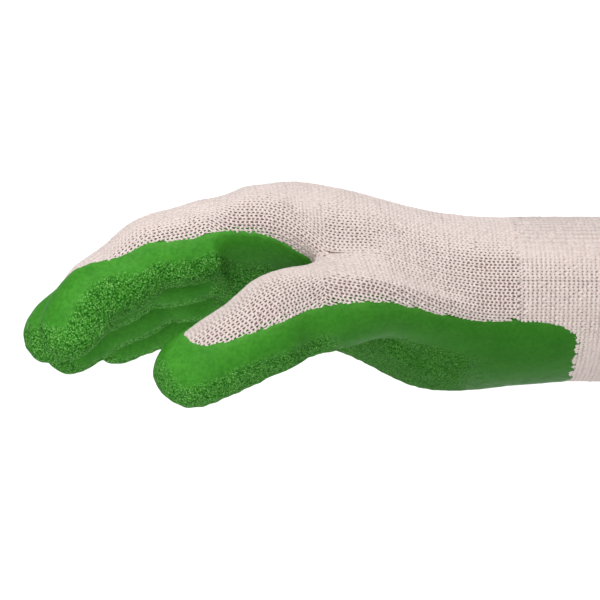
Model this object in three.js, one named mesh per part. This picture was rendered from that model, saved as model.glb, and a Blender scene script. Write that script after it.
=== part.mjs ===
// A work glove of seamless knit with a dipped latex coat, in the form it takes when worn.
// The frame: the origin is the centre of the cuff opening, +X points out of that opening,
// the fingers point to -X, the thumb lies to -Y and the back of the glove faces +Z.
import * as THREE from 'three';

// Driving sizes, in millimetres and degrees
const palmRoll = 18;
const hemWidth = 6;
const hemRise = 0.6;
const hemDepth = 0.5;
const cuffLength = 84;
const coatHeel = 65;
const webDistance = 146;
const crotchDistance = 181;
const wristWidth = 66;
const wristDepth = 51;
const palmWidth = 92;
const palmDepth = 38;
const thumbBaseWidth = 32;
const knitWall = 1.5;
const coatWall = 1.0;
const coatRim = 0.5;
const pieceGap = 0.3;

// Columns of the mesh: how many faces lie across each stretch of a ring
const backColumns = 16;
const sideColumns = 4;
const palmColumns = 16;
const thumbColumns = 12;
const laneColumns = 4;
const fingerColumns = 16;
const edgeLine = 2;
const thumbEdgeLine = 4;

// The palm's oval: at is a share of crotchDistance, half is of palmWidth,
// top and low are of palmDepth, shift is of palmWidth, thin is how far the underside rises
// beside the thumb in shares of palmDepth and power is the oval's exponent
const palmSections = [
  { at: 0.00, half: 0.362, top: 0.66, low: -0.68, shift: 0.000, thin: 0.00, power: 2.0 },
  { at: 0.34, half: 0.359, top: 0.66, low: -0.69, shift: 0.000, thin: 0.00, power: 2.0 },
  { at: 0.46, half: 0.370, top: 0.67, low: -0.75, shift: 0.000, thin: 0.00, power: 2.0 },
  { at: 0.55, half: 0.410, top: 0.70, low: -0.76, shift: 0.010, thin: 0.00, power: 2.1 },
  { at: 0.63, half: 0.450, top: 0.74, low: -0.66, shift: 0.010, thin: 0.00, power: 2.2 },
  { at: 0.71, half: 0.478, top: 0.79, low: -0.44, shift: 0.010, thin: 0.00, power: 2.3 },
  { at: 0.78, half: 0.490, top: 0.83, low: -0.24, shift: 0.010, thin: 0.03, power: 2.4 },
  { at: 0.86, half: 0.495, top: 0.86, low: -0.17, shift: 0.010, thin: 0.16, power: 2.5 },
  { at: 0.93, half: 0.500, top: 0.79, low: -0.15, shift: 0.010, thin: 0.13, power: 2.6 },
  { at: 1.00, half: 0.500, top: 0.64, low: -0.10, shift: 0.010, thin: 0.05, power: 2.6 },
];

// Where the column groups start round the oval, in degrees from the little finger's side
const wristAngles = { thumbStart: 190, thumbEnd: 268, littleLow: 355, littleTop: 380 };
const webAngles = { thumbStart: 197, thumbEnd: 246, littleLow: 332, littleTop: 377 };
const knuckleAngles = { thumbStart: 164, thumbEnd: 238, littleLow: 322, littleTop: 382 };

// The thumb's loop at the web, in degrees round its own centre
const thumbWebAngles = { start: 98, edge: 208, end: 370 };
const thumbWebCentre = { across: -0.42, up: -0.316 };
// How the crotch beside the thumb crowds its points towards the back, how far it dips
// towards the cuff, how late the thumb swells near the palm and how fast the columns turn
// from the web to the knuckles
const webCrowd = 1.45;
const webDip = 5;
const thumbLag = 7;
const knuckleTurn = 0.6;
// The groove between the thumb and the back is smoothed out in rounds, over the columns at
// each side of it, and deepens from a distance from the hem to the web
const grooveFrom = 118;
const grooveRounds = 4;
const grooveColumns = [-2, -1, 0, 1];
// The web's corners, the thumb's root and the index finger's root are rounded out: points
// within a reach of each are drawn towards the middle of their neighbours, in rounds. Then
// the web's upper corner sinks in
const webReach = 22;
const webRounds = 3;
const webPull = 0.55;
const thumbRootReach = 20;
const fingerRootReach = 13;
const webSink = { reach: 24, back: 2, down: 4.5 };

// Fingers: across is a share of palmWidth, up of palmDepth, knuckle of crotchDistance,
// near, mid and far are bone lengths, pitch angles are degrees below level. The rows are
// the index, middle, ring and little fingers
const fingers = [
  {
    across: -0.359, up: 0.447, knuckle: 0.867, fan: -1.5,
    near: 42, mid: 23, far: 21, nearPitch: 18, midPitch: 37, farPitch: 57,
    width: 21.4, depth: 24.6,
  },
  {
    across: -0.112, up: 0.425, knuckle: 0.890, fan: 0,
    near: 43, mid: 22, far: 20, nearPitch: 15, midPitch: 31, farPitch: 43,
    width: 21.2, depth: 24.4,
  },
  {
    across: 0.138, up: 0.421, knuckle: 0.873, fan: 1,
    near: 40, mid: 23, far: 20.5, nearPitch: 12, midPitch: 29, farPitch: 39,
    width: 20.6, depth: 23.4,
  },
  {
    across: 0.377, up: 0.342, knuckle: 0.840, fan: 3,
    near: 34, mid: 19, far: 19, nearPitch: 7, midPitch: 17, farPitch: 26,
    width: 19.0, depth: 21.0,
  },
];

// Stations along a finger from its crotch: at runs 0 to 1 to the middle joint, 1 to 2 to
// the end joint and 2 to 3 to the tip; wide and deep are shares of the finger's sizes,
// lift moves the section's centre and open is the knit's half angle over the back
const fingerStations = [
  { at: 0.20, wide: 0.965, deep: 0.99, lift: 0.00, open: 103 },
  { at: 0.56, wide: 0.950, deep: 0.97, lift: 0.00, open: 100 },
  { at: 0.90, wide: 0.980, deep: 0.930, lift: 0.020, open: 97 },
  { at: 1.10, wide: 0.970, deep: 0.90, lift: 0.03, open: 93 },
  { at: 1.40, wide: 0.930, deep: 0.885, lift: 0.00, open: 88 },
  { at: 1.68, wide: 0.915, deep: 0.855, lift: 0.00, open: 86 },
  { at: 1.96, wide: 0.905, deep: 0.825, lift: 0.01, open: 84 },
  { at: 2.20, wide: 0.875, deep: 0.790, lift: 0.00, open: 84 },
  { at: 2.44, wide: 0.840, deep: 0.750, lift: 0.00, open: 86 },
  { at: 2.66, wide: 0.760, deep: 0.680, lift: -0.01, open: 88 },
  { at: 2.84, wide: 0.610, deep: 0.550, lift: -0.02, open: 90 },
];
// The band from which the knit narrows, the dome of the tip in shares of the finger's depth,
// and how far a joint's bend runs along the axis in shares of the first bone
const fingerNarrowFrom = 5;
const fingerCapRise = 0.15;
const jointBend = 0.35;
const crotchWiden = 1.03;
const capBulge = 1.08;
const axisSteps = 60;

// The thumb's axis from the web: away and across and up are millimetres from the web's
// centre in shares of thumbLength; wide and deep are shares of thumbWidth
const thumbLength = 50;
const thumbWidth = 27.4;
const thumbBack = 142;
const thumbStations = [
  { away: 0.10, across: -0.040, up: -0.055, wide: 1.14, deep: 1.14, start: 76, end: 207 },
  { away: 0.19, across: -0.082, up: -0.120, wide: 1.12, deep: 1.11, start: 75, end: 204 },
  { away: 0.30, across: -0.117, up: -0.200, wide: 1.09, deep: 1.07, start: 77, end: 200 },
  { away: 0.41, across: -0.135, up: -0.284, wide: 1.05, deep: 1.03, start: 80, end: 196 },
  { away: 0.52, across: -0.145, up: -0.356, wide: 1.03, deep: 0.99, start: 83, end: 191 },
  { away: 0.62, across: -0.150, up: -0.418, wide: 1.00, deep: 0.94, start: 86, end: 186 },
  { away: 0.71, across: -0.150, up: -0.472, wide: 0.95, deep: 0.87, start: 90, end: 181 },
  { away: 0.79, across: -0.147, up: -0.518, wide: 0.87, deep: 0.79, start: 94, end: 180 },
  { away: 0.86, across: -0.142, up: -0.556, wide: 0.71, deep: 0.66, start: 98, end: 182 },
];
const thumbStraightStations = 4.5;
const thumbCoatStation = 7;
const thumbCapRise = 0.16;

// Stations along the cuff and the palm, as shares of the stretch that each crosses
const hemStations = [0.2, 0.8];
const cuffStations = [0.27, 0.47, 0.67];
const heelStations = [0.55];
const palmStations = [0.16, 0.33, 0.50, 0.67, 0.84];
const knuckleStations = [0.24, 0.50, 0.76];

const point = (x, y, z) => new THREE.Vector3(x, y, z);
const mix = THREE.MathUtils.lerp;
const ease = (t) => THREE.MathUtils.smoothstep(t, 0, 1);
const radians = THREE.MathUtils.degToRad;

// A value read from a table's column at any place between its rows
function tableAt(rows, key, column, where) {
  if (where <= rows[0][key]) return rows[0][column];
  for (let i = 1; i < rows.length; i += 1) {
    if (where > rows[i][key]) continue;
    const share = (where - rows[i - 1][key]) / (rows[i][key] - rows[i - 1][key]);
    return mix(rows[i - 1][column], rows[i][column], share);
  }
  return rows[rows.length - 1][column];
}

// The palm's outline at a distance from the hem, at an angle round it
function palmPoint(distance, degrees) {
  const at = distance / crotchDistance;
  const read = (column) => tableAt(palmSections, 'at', column, at);
  const wrist = 1 - ease((distance - coatHeel) / (webDistance - coatHeel));
  const half = mix(palmWidth * read('half'), wristWidth / 2, wrist);
  const top = mix(palmDepth * read('top'), wristDepth / 2, wrist);
  const low = mix(palmDepth * read('low'), -wristDepth / 2, wrist * wrist);
  const power = 2 / read('power');
  const c = Math.cos(radians(degrees));
  const s = Math.sin(radians(degrees));
  const middle = (top + low) / 2;
  const across = half * Math.sign(c) * Math.abs(c) ** power + palmWidth * read('shift');
  const up = middle + ((top - low) / 2) * Math.sign(s) * Math.abs(s) ** power;
  const thin = c < 0 && s < 0 ? palmDepth * read('thin') * 2 * c * s : 0;
  return point(-distance, across, up + thin);
}

function thumbWebPoint(degrees) {
  const c = Math.cos(radians(degrees));
  const s = Math.sin(radians(degrees));
  const across = palmWidth * thumbWebCentre.across + (thumbBaseWidth / 2) * c;
  const up = palmDepth * thumbWebCentre.up + (thumbBaseWidth / 2) * s;
  return point(-webDistance, across, up);
}

// Angles round the thumb's loop, from the back's edge to the palm's
function thumbWebAngle(i) {
  const { start, edge, end } = thumbWebAngles;
  if (i <= thumbEdgeLine) return mix(start, edge, i / thumbEdgeLine);
  return mix(edge, end, (i - thumbEdgeLine) / (thumbColumns - thumbEdgeLine));
}

// The mesh that every piece is cut from: points, and faces with the zone they belong to
const cage = [];
const faces = [];

function addPoints(points) {
  return points.map((p) => cage.push(p) - 1);
}

// describe(i) gives a face's zone and whether it is coated. Where it names a corner, from
// 0 to 3, the half of the face at that corner is the other way round
function addBand(first, second, closed, describe) {
  const count = closed ? first.length : first.length - 1;
  for (let i = 0; i < count; i += 1) {
    const j = (i + 1) % first.length;
    const corners = [first[i], first[j], second[j], second[i]];
    const { zone, coated, corner } = describe(i);
    if (corner === undefined) {
      faces.push({ corners, zone, coated });
    } else {
      const turned = [0, 1, 2, 3].map((k) => corners[(corner + k) % 4]);
      faces.push({ corners: [turned[0], turned[1], turned[3]], zone, coated: !coated });
      faces.push({ corners: [turned[1], turned[2], turned[3]], zone, coated });
    }
  }
}

// A ring ahead of the web: the back, the little finger's side, the palm and the thumb's side
const ringColumns = backColumns + sideColumns + palmColumns + thumbColumns;

function palmAngles(distance) {
  const share = ease((distance - coatHeel) / (webDistance - coatHeel));
  const reach = (distance - webDistance) / (crotchDistance - webDistance);
  const beyond = THREE.MathUtils.clamp(reach, 0, 1) ** knuckleTurn;
  const blend = (key) => {
    const near = mix(wristAngles[key], webAngles[key], share);
    return mix(near, knuckleAngles[key], beyond);
  };
  return {
    thumbStart: blend('thumbStart'),
    thumbEnd: blend('thumbEnd'),
    littleLow: blend('littleLow'),
    littleTop: blend('littleTop'),
  };
}

function palmArc(distance, from, to, columns) {
  const points = [];
  for (let i = 0; i < columns; i += 1) {
    points.push(palmPoint(distance, mix(from, to, i / columns)));
  }
  return points;
}

function backAndPalm(distance) {
  const a = palmAngles(distance);
  return [
    ...palmArc(distance, a.thumbStart, a.littleTop - 360, backColumns),
    ...palmArc(distance, a.littleTop, a.littleLow, sideColumns),
    ...palmArc(distance, a.littleLow, a.thumbEnd, palmColumns),
  ];
}

function fullRing(distance) {
  const a = palmAngles(distance);
  const grow = ease((distance - coatHeel) / (webDistance - coatHeel));
  const thumbSide = [];
  for (let i = 0; i < thumbColumns; i += 1) {
    const share = i / thumbColumns;
    const onPalm = palmPoint(distance, mix(a.thumbEnd, a.thumbStart, share));
    const onThumb = thumbWebPoint(thumbWebAngle(thumbColumns - i));
    const p = onPalm.clone().lerp(onThumb, grow ** mix(thumbLag, 1, Math.sqrt(share)));
    p.x = -distance;
    thumbSide.push(p);
  }
  const ring = [...backAndPalm(distance), ...thumbSide];
  const depth = ease((distance - grooveFrom) / (webDistance - grooveFrom));
  smoothGroove(ring, Math.min(2 * grow, 1) * (1 - depth));
  return ring;
}

function smoothGroove(ring, strength) {
  const count = ring.length;
  for (let round = 0; round < grooveRounds; round += 1) {
    for (const column of grooveColumns) {
      const i = (column + count) % count;
      const middle = ring[(i + count - 1) % count].clone().lerp(ring[(i + 1) % count], 0.5);
      ring[i] = ring[i].clone().lerp(middle, strength);
    }
  }
}

const backEdge = backColumns + edgeLine;
const thumbEdge = ringColumns - thumbEdgeLine;

function ringZone(plan) {
  const { zone, heel } = plan;
  return (i) => {
    const coated = Boolean(plan.coated) && i >= backEdge && i < thumbEdge;
    if (heel && i === backEdge) return { zone, coated, corner: 0 };
    if (heel && i === thumbEdge - 1) return { zone, coated, corner: 1 };
    return { zone, coated };
  };
}

const heelSpan = cuffLength - coatHeel;
const palmSpan = webDistance - cuffLength;
const ringPlan = [
  { distance: 0, zone: 'hem' },
  ...hemStations.map((s) => ({ distance: hemWidth * s, zone: 'hem' })),
  { distance: hemWidth, zone: 'gap' },
  { distance: hemWidth + pieceGap, zone: 'cuff' },
  ...cuffStations.map((s) => ({ distance: mix(hemWidth, coatHeel, s), zone: 'cuff' })),
  { distance: coatHeel, zone: 'cuff', coated: true, heel: true },
  ...heelStations.map((s) => ({ distance: coatHeel + heelSpan * s, zone: 'cuff', coated: true })),
  { distance: cuffLength - pieceGap / 2, zone: 'gap', coated: true },
  { distance: cuffLength + pieceGap / 2, zone: 'shell', coated: true },
  ...palmStations.map((s) => ({ distance: cuffLength + palmSpan * s, zone: 'shell', coated: true })),
];

let lastRing = null;
let lastPlan = null;
const hemRoll = new Set();
for (const plan of ringPlan) {
  const ring = addPoints(fullRing(plan.distance));
  if (lastRing) addBand(lastRing, ring, true, ringZone(lastPlan));
  if (plan.distance > 0 && plan.distance < hemWidth) ring.forEach((i) => hemRoll.add(i));
  lastRing = ring;
  lastPlan = plan;
}

// At the web the ring parts into the palm's loop and the thumb's loop, which share the
// points of the crotch between them
const webBack = addPoints(backAndPalm(webDistance));
const palmWebAngles = palmAngles(webDistance);
const thumbOuter = [];
for (let i = 0; i <= thumbColumns; i += 1) {
  thumbOuter.push(thumbWebPoint(thumbWebAngle(thumbColumns - i)));
}
const lowPlace = palmPoint(webDistance, palmWebAngles.thumbEnd).lerp(thumbOuter[0], 0.5);
lowPlace.x += webDip;
const lowCorner = addPoints([lowPlace])[0];
cage[webBack[0]].lerp(thumbOuter[thumbColumns], 0.5);
const thumbSideRing = addPoints(thumbOuter.slice(1, thumbColumns));
const webRing = [...webBack, lowCorner, ...thumbSideRing];
addBand(lastRing, webRing, true, ringZone({ zone: 'shell', coated: true }));

const crotchInner = [];
for (let i = 1; i < sideColumns; i += 1) {
  const share = (1 - i / sideColumns) ** webCrowd;
  const palmTurn = mix(palmWebAngles.thumbStart, palmWebAngles.thumbEnd, share);
  const onPalm = palmPoint(webDistance, palmTurn);
  const onThumb = thumbWebPoint(mix(thumbWebAngles.start, thumbWebAngles.end - 360, share));
  const place = onPalm.lerp(onThumb, 0.5);
  place.x += webDip * share;
  crotchInner.push(place);
}
const webCrotch = addPoints(crotchInner);

// The palm's loops from the web to the finger crotches
const loopColumns = backColumns + sideColumns + palmColumns + sideColumns;
const palmEdgeLow = loopColumns - edgeLine;

function palmLoop(distance) {
  const a = palmAngles(distance);
  const side = [];
  for (let i = 0; i < sideColumns; i += 1) {
    const share = (1 - i / sideColumns) ** webCrowd;
    side.push(palmPoint(distance, mix(a.thumbStart, a.thumbEnd, share)));
  }
  return [...backAndPalm(distance), ...side];
}

const loopZone = (i) => ({ zone: 'shell', coated: i >= backEdge && i < palmEdgeLow });
let lastLoop = [...webBack, lowCorner, ...webCrotch];
const knuckleSpan = crotchDistance - webDistance;
for (const share of knuckleStations) {
  const loop = addPoints(palmLoop(webDistance + knuckleSpan * share));
  addBand(lastLoop, loop, true, loopZone);
  lastLoop = loop;
}

// A finger's axis: where it is, and which way it points, at a distance from its crotch
function fingerAxis(finger) {
  const start = point(-finger.knuckle * crotchDistance, finger.across * palmWidth, finger.up * palmDepth);
  const hidden = crotchDistance * (1 - finger.knuckle);
  const bones = [finger.near - hidden, finger.mid, finger.far];
  const bend = (finger.near - hidden) * jointBend;
  const total = bones[0] + bones[1] + bones[2];
  const pitchAt = (s) => {
    const first = ease((s - bones[0]) / bend + 0.5);
    const second = ease((s - bones[0] - bones[1]) / bend + 0.5);
    return mix(mix(finger.nearPitch, finger.midPitch, first), finger.farPitch, second);
  };
  const forwardAt = (s) => {
    const pitch = radians(pitchAt(s));
    const fan = radians(finger.fan);
    return point(-Math.cos(pitch) * Math.cos(fan), Math.sin(fan), -Math.sin(pitch) * Math.cos(fan));
  };
  const track = [start.clone().addScaledVector(forwardAt(-hidden), hidden)];
  for (let i = 0; i < axisSteps; i += 1) {
    const s = ((i + 0.5) / axisSteps) * total;
    track.push(track[i].clone().addScaledVector(forwardAt(s), total / axisSteps));
  }
  const distanceOf = (at) => {
    if (at < 1) return bones[0] * at;
    if (at < 2) return bones[0] + bones[1] * (at - 1);
    return bones[0] + bones[1] + bones[2] * (at - 2);
  };
  return (at) => {
    const s = distanceOf(at);
    const place = THREE.MathUtils.clamp((s / total) * axisSteps, 0, axisSteps - 1e-6);
    const centre = track[Math.floor(place)].clone().lerp(track[Math.floor(place) + 1], place % 1);
    const forward = forwardAt(s);
    const across = point(-forward.y, -forward.x, 0).normalize();
    const back = across.clone().cross(forward).normalize();
    return { centre, forward, across, back };
  };
}

// A ring round an axis: column i starts at the back's edge and turns towards the palm
function axisRing(frame, wide, deep, angles) {
  return angles.map((degrees) => {
    const c = Math.cos(radians(degrees));
    const s = Math.sin(radians(degrees));
    return frame.centre.clone()
      .addScaledVector(frame.across, (wide / 2) * c)
      .addScaledVector(frame.back, (deep / 2) * s);
  });
}

function fingerAngles(open) {
  const knitColumns = laneColumns + 2 * edgeLine;
  const knitStep = (2 * open) / knitColumns;
  const coatStep = (360 - 2 * open) / (fingerColumns - knitColumns);
  const angles = [];
  for (let i = 0; i < fingerColumns; i += 1) {
    const fromEdge = i + edgeLine;
    const turn = fromEdge <= knitColumns || fromEdge > fingerColumns
      ? (fromEdge % fingerColumns) * knitStep
      : 2 * open + (fromEdge - knitColumns) * coatStep;
    angles.push(90 + open - turn);
  }
  return angles;
}

// Closes a loop of 16 points with a domed grid of 4 by 4 faces
function addCap(ring, forward, rise, describe) {
  const side = laneColumns;
  const grid = [];
  for (let q = 0; q <= side; q += 1) grid.push(new Array(side + 1).fill(-1));
  for (let i = 0; i < side; i += 1) {
    grid[0][i] = ring[i];
    grid[i][side] = ring[side + i];
    grid[side][side - i] = ring[2 * side + i];
    grid[side - i][0] = ring[3 * side + i];
  }
  const centre = point(0, 0, 0);
  for (const index of ring) centre.addScaledVector(cage[index], 1 / ring.length);
  const half = side / 2;
  for (let q = 1; q < side; q += 1) {
    for (let p = 1; p < side; p += 1) {
      const level = Math.max(Math.abs(q - half), Math.abs(p - half)) / half;
      const outer = level > 0
        ? cage[grid[half + (q - half) / level][half + (p - half) / level]]
        : centre;
      const inner = centre.clone().lerp(outer, level * capBulge);
      inner.addScaledVector(forward, rise * (1 - level * level));
      grid[q][p] = addPoints([inner])[0];
    }
  }
  for (let q = 0; q < side; q += 1) {
    addBand(grid[q], grid[q + 1], false, describe);
  }
}

// The crotches: one line of points from the back to the palm between each two fingers,
// which both fingers share, and one at each side of the row
const backRow = [];
const palmRow = [];
const crotchLines = [];
const axes = fingers.map(fingerAxis);
const crotchAngles = fingerAngles(fingerStations[0].open);
const crotchRings = axes.map((axis, i) => {
  const wide = fingers[i].width * crotchWiden;
  const deep = fingers[i].depth * crotchWiden;
  return axisRing(axis(0), wide, deep, crotchAngles);
});
for (let k = 0; k <= fingers.length; k += 1) {
  const left = crotchRings[Math.max(k - 1, 0)];
  const right = crotchRings[Math.min(k, fingers.length - 1)];
  const line = [];
  for (let i = 0; i <= sideColumns; i += 1) {
    const fromLeft = left[laneColumns + i].clone();
    const fromRight = right[(fingerColumns - i) % fingerColumns].clone();
    if (k === 0) line.push(fromRight);
    else if (k === fingers.length) line.push(fromLeft);
    else line.push(fromLeft.lerp(fromRight, 0.5));
  }
  crotchLines.push(addPoints(line));
}
for (let k = 0; k < fingers.length; k += 1) {
  const ring = crotchRings[k];
  backRow.push([crotchLines[k][0], ...addPoints(ring.slice(1, laneColumns)), crotchLines[k + 1][0]]);
  const low = laneColumns + sideColumns;
  palmRow.push([
    crotchLines[k + 1][sideColumns],
    ...addPoints(ring.slice(low + 1, low + laneColumns)),
    crotchLines[k][sideColumns],
  ]);
}
const outerLast = crotchLines[fingers.length];
const outerFirst = crotchLines[0];
const crotchLoop = [
  ...backRow.flatMap((row) => row.slice(0, laneColumns)),
  ...outerLast.slice(0, sideColumns),
  ...[...palmRow].reverse().flatMap((row) => row.slice(0, laneColumns)),
  ...[...outerFirst].reverse().slice(0, sideColumns),
];
addBand(lastLoop, crotchLoop, true, loopZone);

const knitLast = laneColumns + edgeLine;
const knitFirst = fingerColumns - edgeLine;
const coatFinger = (i) => i >= knitLast && i < knitFirst;

// Towards the tip the knit narrows by a column at each side of every band
function fingerZone(station) {
  const narrow = station - fingerNarrowFrom;
  return (i) => {
    const zone = 'shell';
    const left = (i + edgeLine) % fingerColumns;
    const right = knitLast + edgeLine - 1 - left;
    const inset = Math.min(left, right);
    if (coatFinger(i) || inset < narrow) return { zone, coated: true };
    if (inset === narrow) return { zone, coated: true, corner: left < right ? 1 : 0 };
    return { zone, coated: false };
  };
}

fingers.forEach((finger, k) => {
  let ring = [
    ...backRow[k].slice(0, laneColumns),
    ...crotchLines[k + 1].slice(0, sideColumns),
    ...palmRow[k].slice(0, laneColumns),
    ...[...crotchLines[k]].reverse().slice(0, sideColumns),
  ];
  let frame = null;
  fingerStations.forEach((station, n) => {
    frame = axes[k](station.at);
    frame.centre.addScaledVector(frame.back, finger.depth * station.lift);
    const wide = finger.width * station.wide;
    const deep = finger.depth * station.deep;
    const next = addPoints(axisRing(frame, wide, deep, fingerAngles(station.open)));
    addBand(ring, next, true, fingerZone(n));
    ring = next;
  });
  addCap(ring, frame.forward, finger.depth * fingerCapRise, () => ({ zone: 'shell', coated: true }));
});

// The thumb, from the web to its tip
function thumbFrame(n) {
  const centre = thumbCentre(thumbStations[n]);
  const before = thumbCentre(thumbStations[n - 1] || { away: 0, across: 0, up: 0 });
  const after = thumbCentre(thumbStations[n + 1] || thumbStations[n]);
  const along = after.sub(before).normalize();
  const forward = point(-1, 0, 0).lerp(along, ease((n + 0.5) / thumbStraightStations)).normalize();
  const turned = radians(thumbBack);
  const back = point(0, Math.cos(turned), Math.sin(turned));
  back.addScaledVector(forward, -back.dot(forward)).normalize();
  const across = forward.clone().cross(back).normalize();
  return { centre, forward, across, back };
}

function thumbCentre(station) {
  return point(
    -webDistance - thumbLength * station.away,
    palmWidth * thumbWebCentre.across + thumbLength * station.across,
    palmDepth * thumbWebCentre.up + thumbLength * station.up,
  );
}

function thumbRingPoints(n) {
  const station = thumbStations[n];
  const frame = thumbFrame(n);
  const knitColumns = thumbEdgeLine + edgeLine;
  const knitStep = (station.end - station.start) / knitColumns;
  const coatStep = (360 - station.end + station.start) / (fingerColumns - knitColumns);
  const points = [];
  for (let i = 0; i < fingerColumns; i += 1) {
    const fromEdge = i + edgeLine;
    const turned = fromEdge <= knitColumns || fromEdge > fingerColumns
      ? station.start + (fromEdge % fingerColumns) * knitStep
      : station.end + (fromEdge - knitColumns) * coatStep;
    const angle = radians(turned);
    const offset = point(0, Math.cos(angle), Math.sin(angle));
    const a = (thumbWidth / 2) * station.wide;
    const b = (thumbWidth / 2) * station.deep;
    const p = frame.centre.clone()
      .addScaledVector(frame.across, a * offset.dot(frame.across))
      .addScaledVector(frame.back, b * offset.dot(frame.back));
    points.push(p);
  }
  return { points, frame };
}

const thumbBase = [
  webBack[0],
  ...[...thumbSideRing].reverse(),
  lowCorner,
  ...webCrotch,
];
const thumbKnitFirst = fingerColumns - edgeLine;
function thumbZone(station) {
  const last = station === thumbCoatStation - 1;
  return (i) => {
    const zone = 'shell';
    const coated = station >= thumbCoatStation || (i >= thumbEdgeLine && i < thumbKnitFirst);
    if (last && i === thumbKnitFirst) return { zone, coated: !coated, corner: 2 };
    if (last && i === thumbEdgeLine - 1) return { zone, coated: !coated, corner: 3 };
    return { zone, coated };
  };
}

function addThumb() {
  let ring = thumbBase;
  let frame = null;
  thumbStations.forEach((station, n) => {
    const made = thumbRingPoints(n);
    frame = made.frame;
    const points = addPoints(made.points);
    addBand(points, ring, true, thumbZone(n));
    ring = points;
  });
  const turned = [ring[0], ...ring.slice(1).reverse()];
  addCap(turned, frame.forward, thumbWidth * thumbCapRise, () => ({ zone: 'shell', coated: true }));
}
addThumb();

// Draws the points within a reach of a place towards the middle of their neighbours
function relaxNear(place, reach, rounds, strength) {
  const neighbours = cage.map(() => new Set());
  for (const face of faces) {
    face.corners.forEach((from, i) => {
      const to = face.corners[(i + 1) % face.corners.length];
      neighbours[from].add(to);
      neighbours[to].add(from);
    });
  }
  const pulls = cage.map((p) => strength * (1 - ease(p.distanceTo(place) / reach)));
  for (let round = 0; round < rounds; round += 1) {
    const before = cage.map((p) => p.clone());
    cage.forEach((p, i) => {
      const middle = point(0, 0, 0);
      for (const k of neighbours[i]) middle.addScaledVector(before[k], 1 / neighbours[i].size);
      p.lerp(middle, pulls[i]);
    });
  }
}
for (const corner of [webBack[0], lowCorner]) {
  relaxNear(cage[corner].clone(), webReach, webRounds, webPull);
}
relaxNear(cage[webRing[thumbEdge]].clone(), thumbRootReach, webRounds, webPull);
relaxNear(cage[crotchLines[0][0]].clone(), fingerRootReach, webRounds, webPull);
const webCorner = cage[webBack[0]].clone();
for (const p of cage) {
  const share = 1 - ease(p.distanceTo(webCorner) / webSink.reach);
  p.x += webSink.back * share;
  p.z -= webSink.down * share;
}

// Turns the whole glove about X so that its palm faces a little to the thumb's side
for (const p of cage) p.applyAxisAngle(point(1, 0, 0), -radians(palmRoll));

// Outward direction at every point of the cage
const normals = cage.map(() => point(0, 0, 0));
for (const face of faces) {
  const places = face.corners.map((i) => cage[i]);
  const first = places[2].clone().sub(places[0]);
  const second = places[places.length - 1].clone().sub(places[1]);
  const normal = first.cross(second).normalize().multiplyScalar(places.length - 2);
  for (const i of face.corners) normals[i].add(normal);
}
for (const n of normals) n.normalize();

// A closed wall made of some of the cage's faces, from one offset to another
function wallSolid(picked, outer, inner) {
  const places = [];
  const made = new Map();
  const at = (index, side) => {
    const key = `${index} ${side}`;
    if (!made.has(key)) {
      const offset = side === 'out' ? outer(index) : inner(index);
      const p = cage[index].clone().addScaledVector(normals[index], offset);
      made.set(key, places.length / 3);
      places.push(p.x, p.y, p.z);
    }
    return made.get(key);
  };
  const indices = [];
  const add = (...loop) => {
    for (let i = 2; i < loop.length; i += 1) indices.push(loop[0], loop[i - 1], loop[i]);
  };
  const edges = new Map();
  for (const face of picked) {
    const count = face.corners.length;
    add(...face.corners.map((i) => at(i, 'out')));
    const [base, ...others] = face.corners.map((i) => at(i, 'in'));
    add(base, ...others.reverse());
    face.corners.forEach((from, i) => {
      const to = face.corners[(i + 1) % count];
      if (edges.has(`${to} ${from}`)) edges.delete(`${to} ${from}`);
      else edges.set(`${from} ${to}`, [from, to]);
    });
  }
  for (const [from, to] of edges.values()) {
    add(at(from, 'out'), at(from, 'in'), at(to, 'in'), at(to, 'out'));
  }
  const geometry = new THREE.BufferGeometry();
  geometry.setAttribute('position', new THREE.Float32BufferAttribute(places, 3));
  geometry.setIndex(indices);
  geometry.computeVertexNormals();
  return geometry;
}

const facesOf = (zone) => faces.filter((face) => face.zone === zone);
const coated = faces.filter((face) => face.coated);

// Points on the coat's edge, where it thins to a rim
function rimPoints(picked) {
  const uses = new Map();
  for (const face of picked) {
    face.corners.forEach((from, i) => {
      const to = face.corners[(i + 1) % face.corners.length];
      const key = from < to ? `${from} ${to}` : `${to} ${from}`;
      uses.set(key, (uses.get(key) || 0) + 1);
    });
  }
  const rim = new Set();
  for (const [key, count] of uses) {
    if (count === 1) key.split(' ').forEach((i) => rim.add(Number(i)));
  }
  return rim;
}
const coatRimPoints = rimPoints(coated);

const finish = (color, roughness) => new THREE.MeshStandardMaterial({ color, roughness });
const knitFinish = finish(0xddd0cb, 0.95);
const cuffFinish = finish(0xd2c5bf, 0.95);
const hemFinish = finish(0xc9bcb4, 0.95);
const coatFinish = finish(0x46913a, 0.55);

const group = new THREE.Group();
function addPiece(name, geometry, material) {
  const mesh = new THREE.Mesh(geometry, material);
  mesh.name = name;
  group.add(mesh);
}

const hemOuter = (i) => (hemRoll.has(i) ? hemRise : 0);
const hemInner = (i) => (hemRoll.has(i) ? -knitWall - hemDepth : -knitWall);
addPiece('knit_shell', wallSolid(facesOf('shell'), () => 0, () => -knitWall), knitFinish);
addPiece('knit_cuff', wallSolid(facesOf('cuff'), () => 0, () => -knitWall), cuffFinish);
addPiece('cuff_hem', wallSolid(facesOf('hem'), hemOuter, hemInner), hemFinish);
addPiece(
  'latex_coating',
  wallSolid(
    coated,
    (i) => pieceGap + (coatRimPoints.has(i) ? coatRim : coatWall),
    () => pieceGap,
  ),
  coatFinish,
);

export default group;
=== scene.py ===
# The looks of a work glove: yarn loops, the dipped latex coat, the elastic cuff and its hem.
# Lengths are in millimetres until a mesh is made, in the frame that part.mjs describes.
import math

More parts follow.
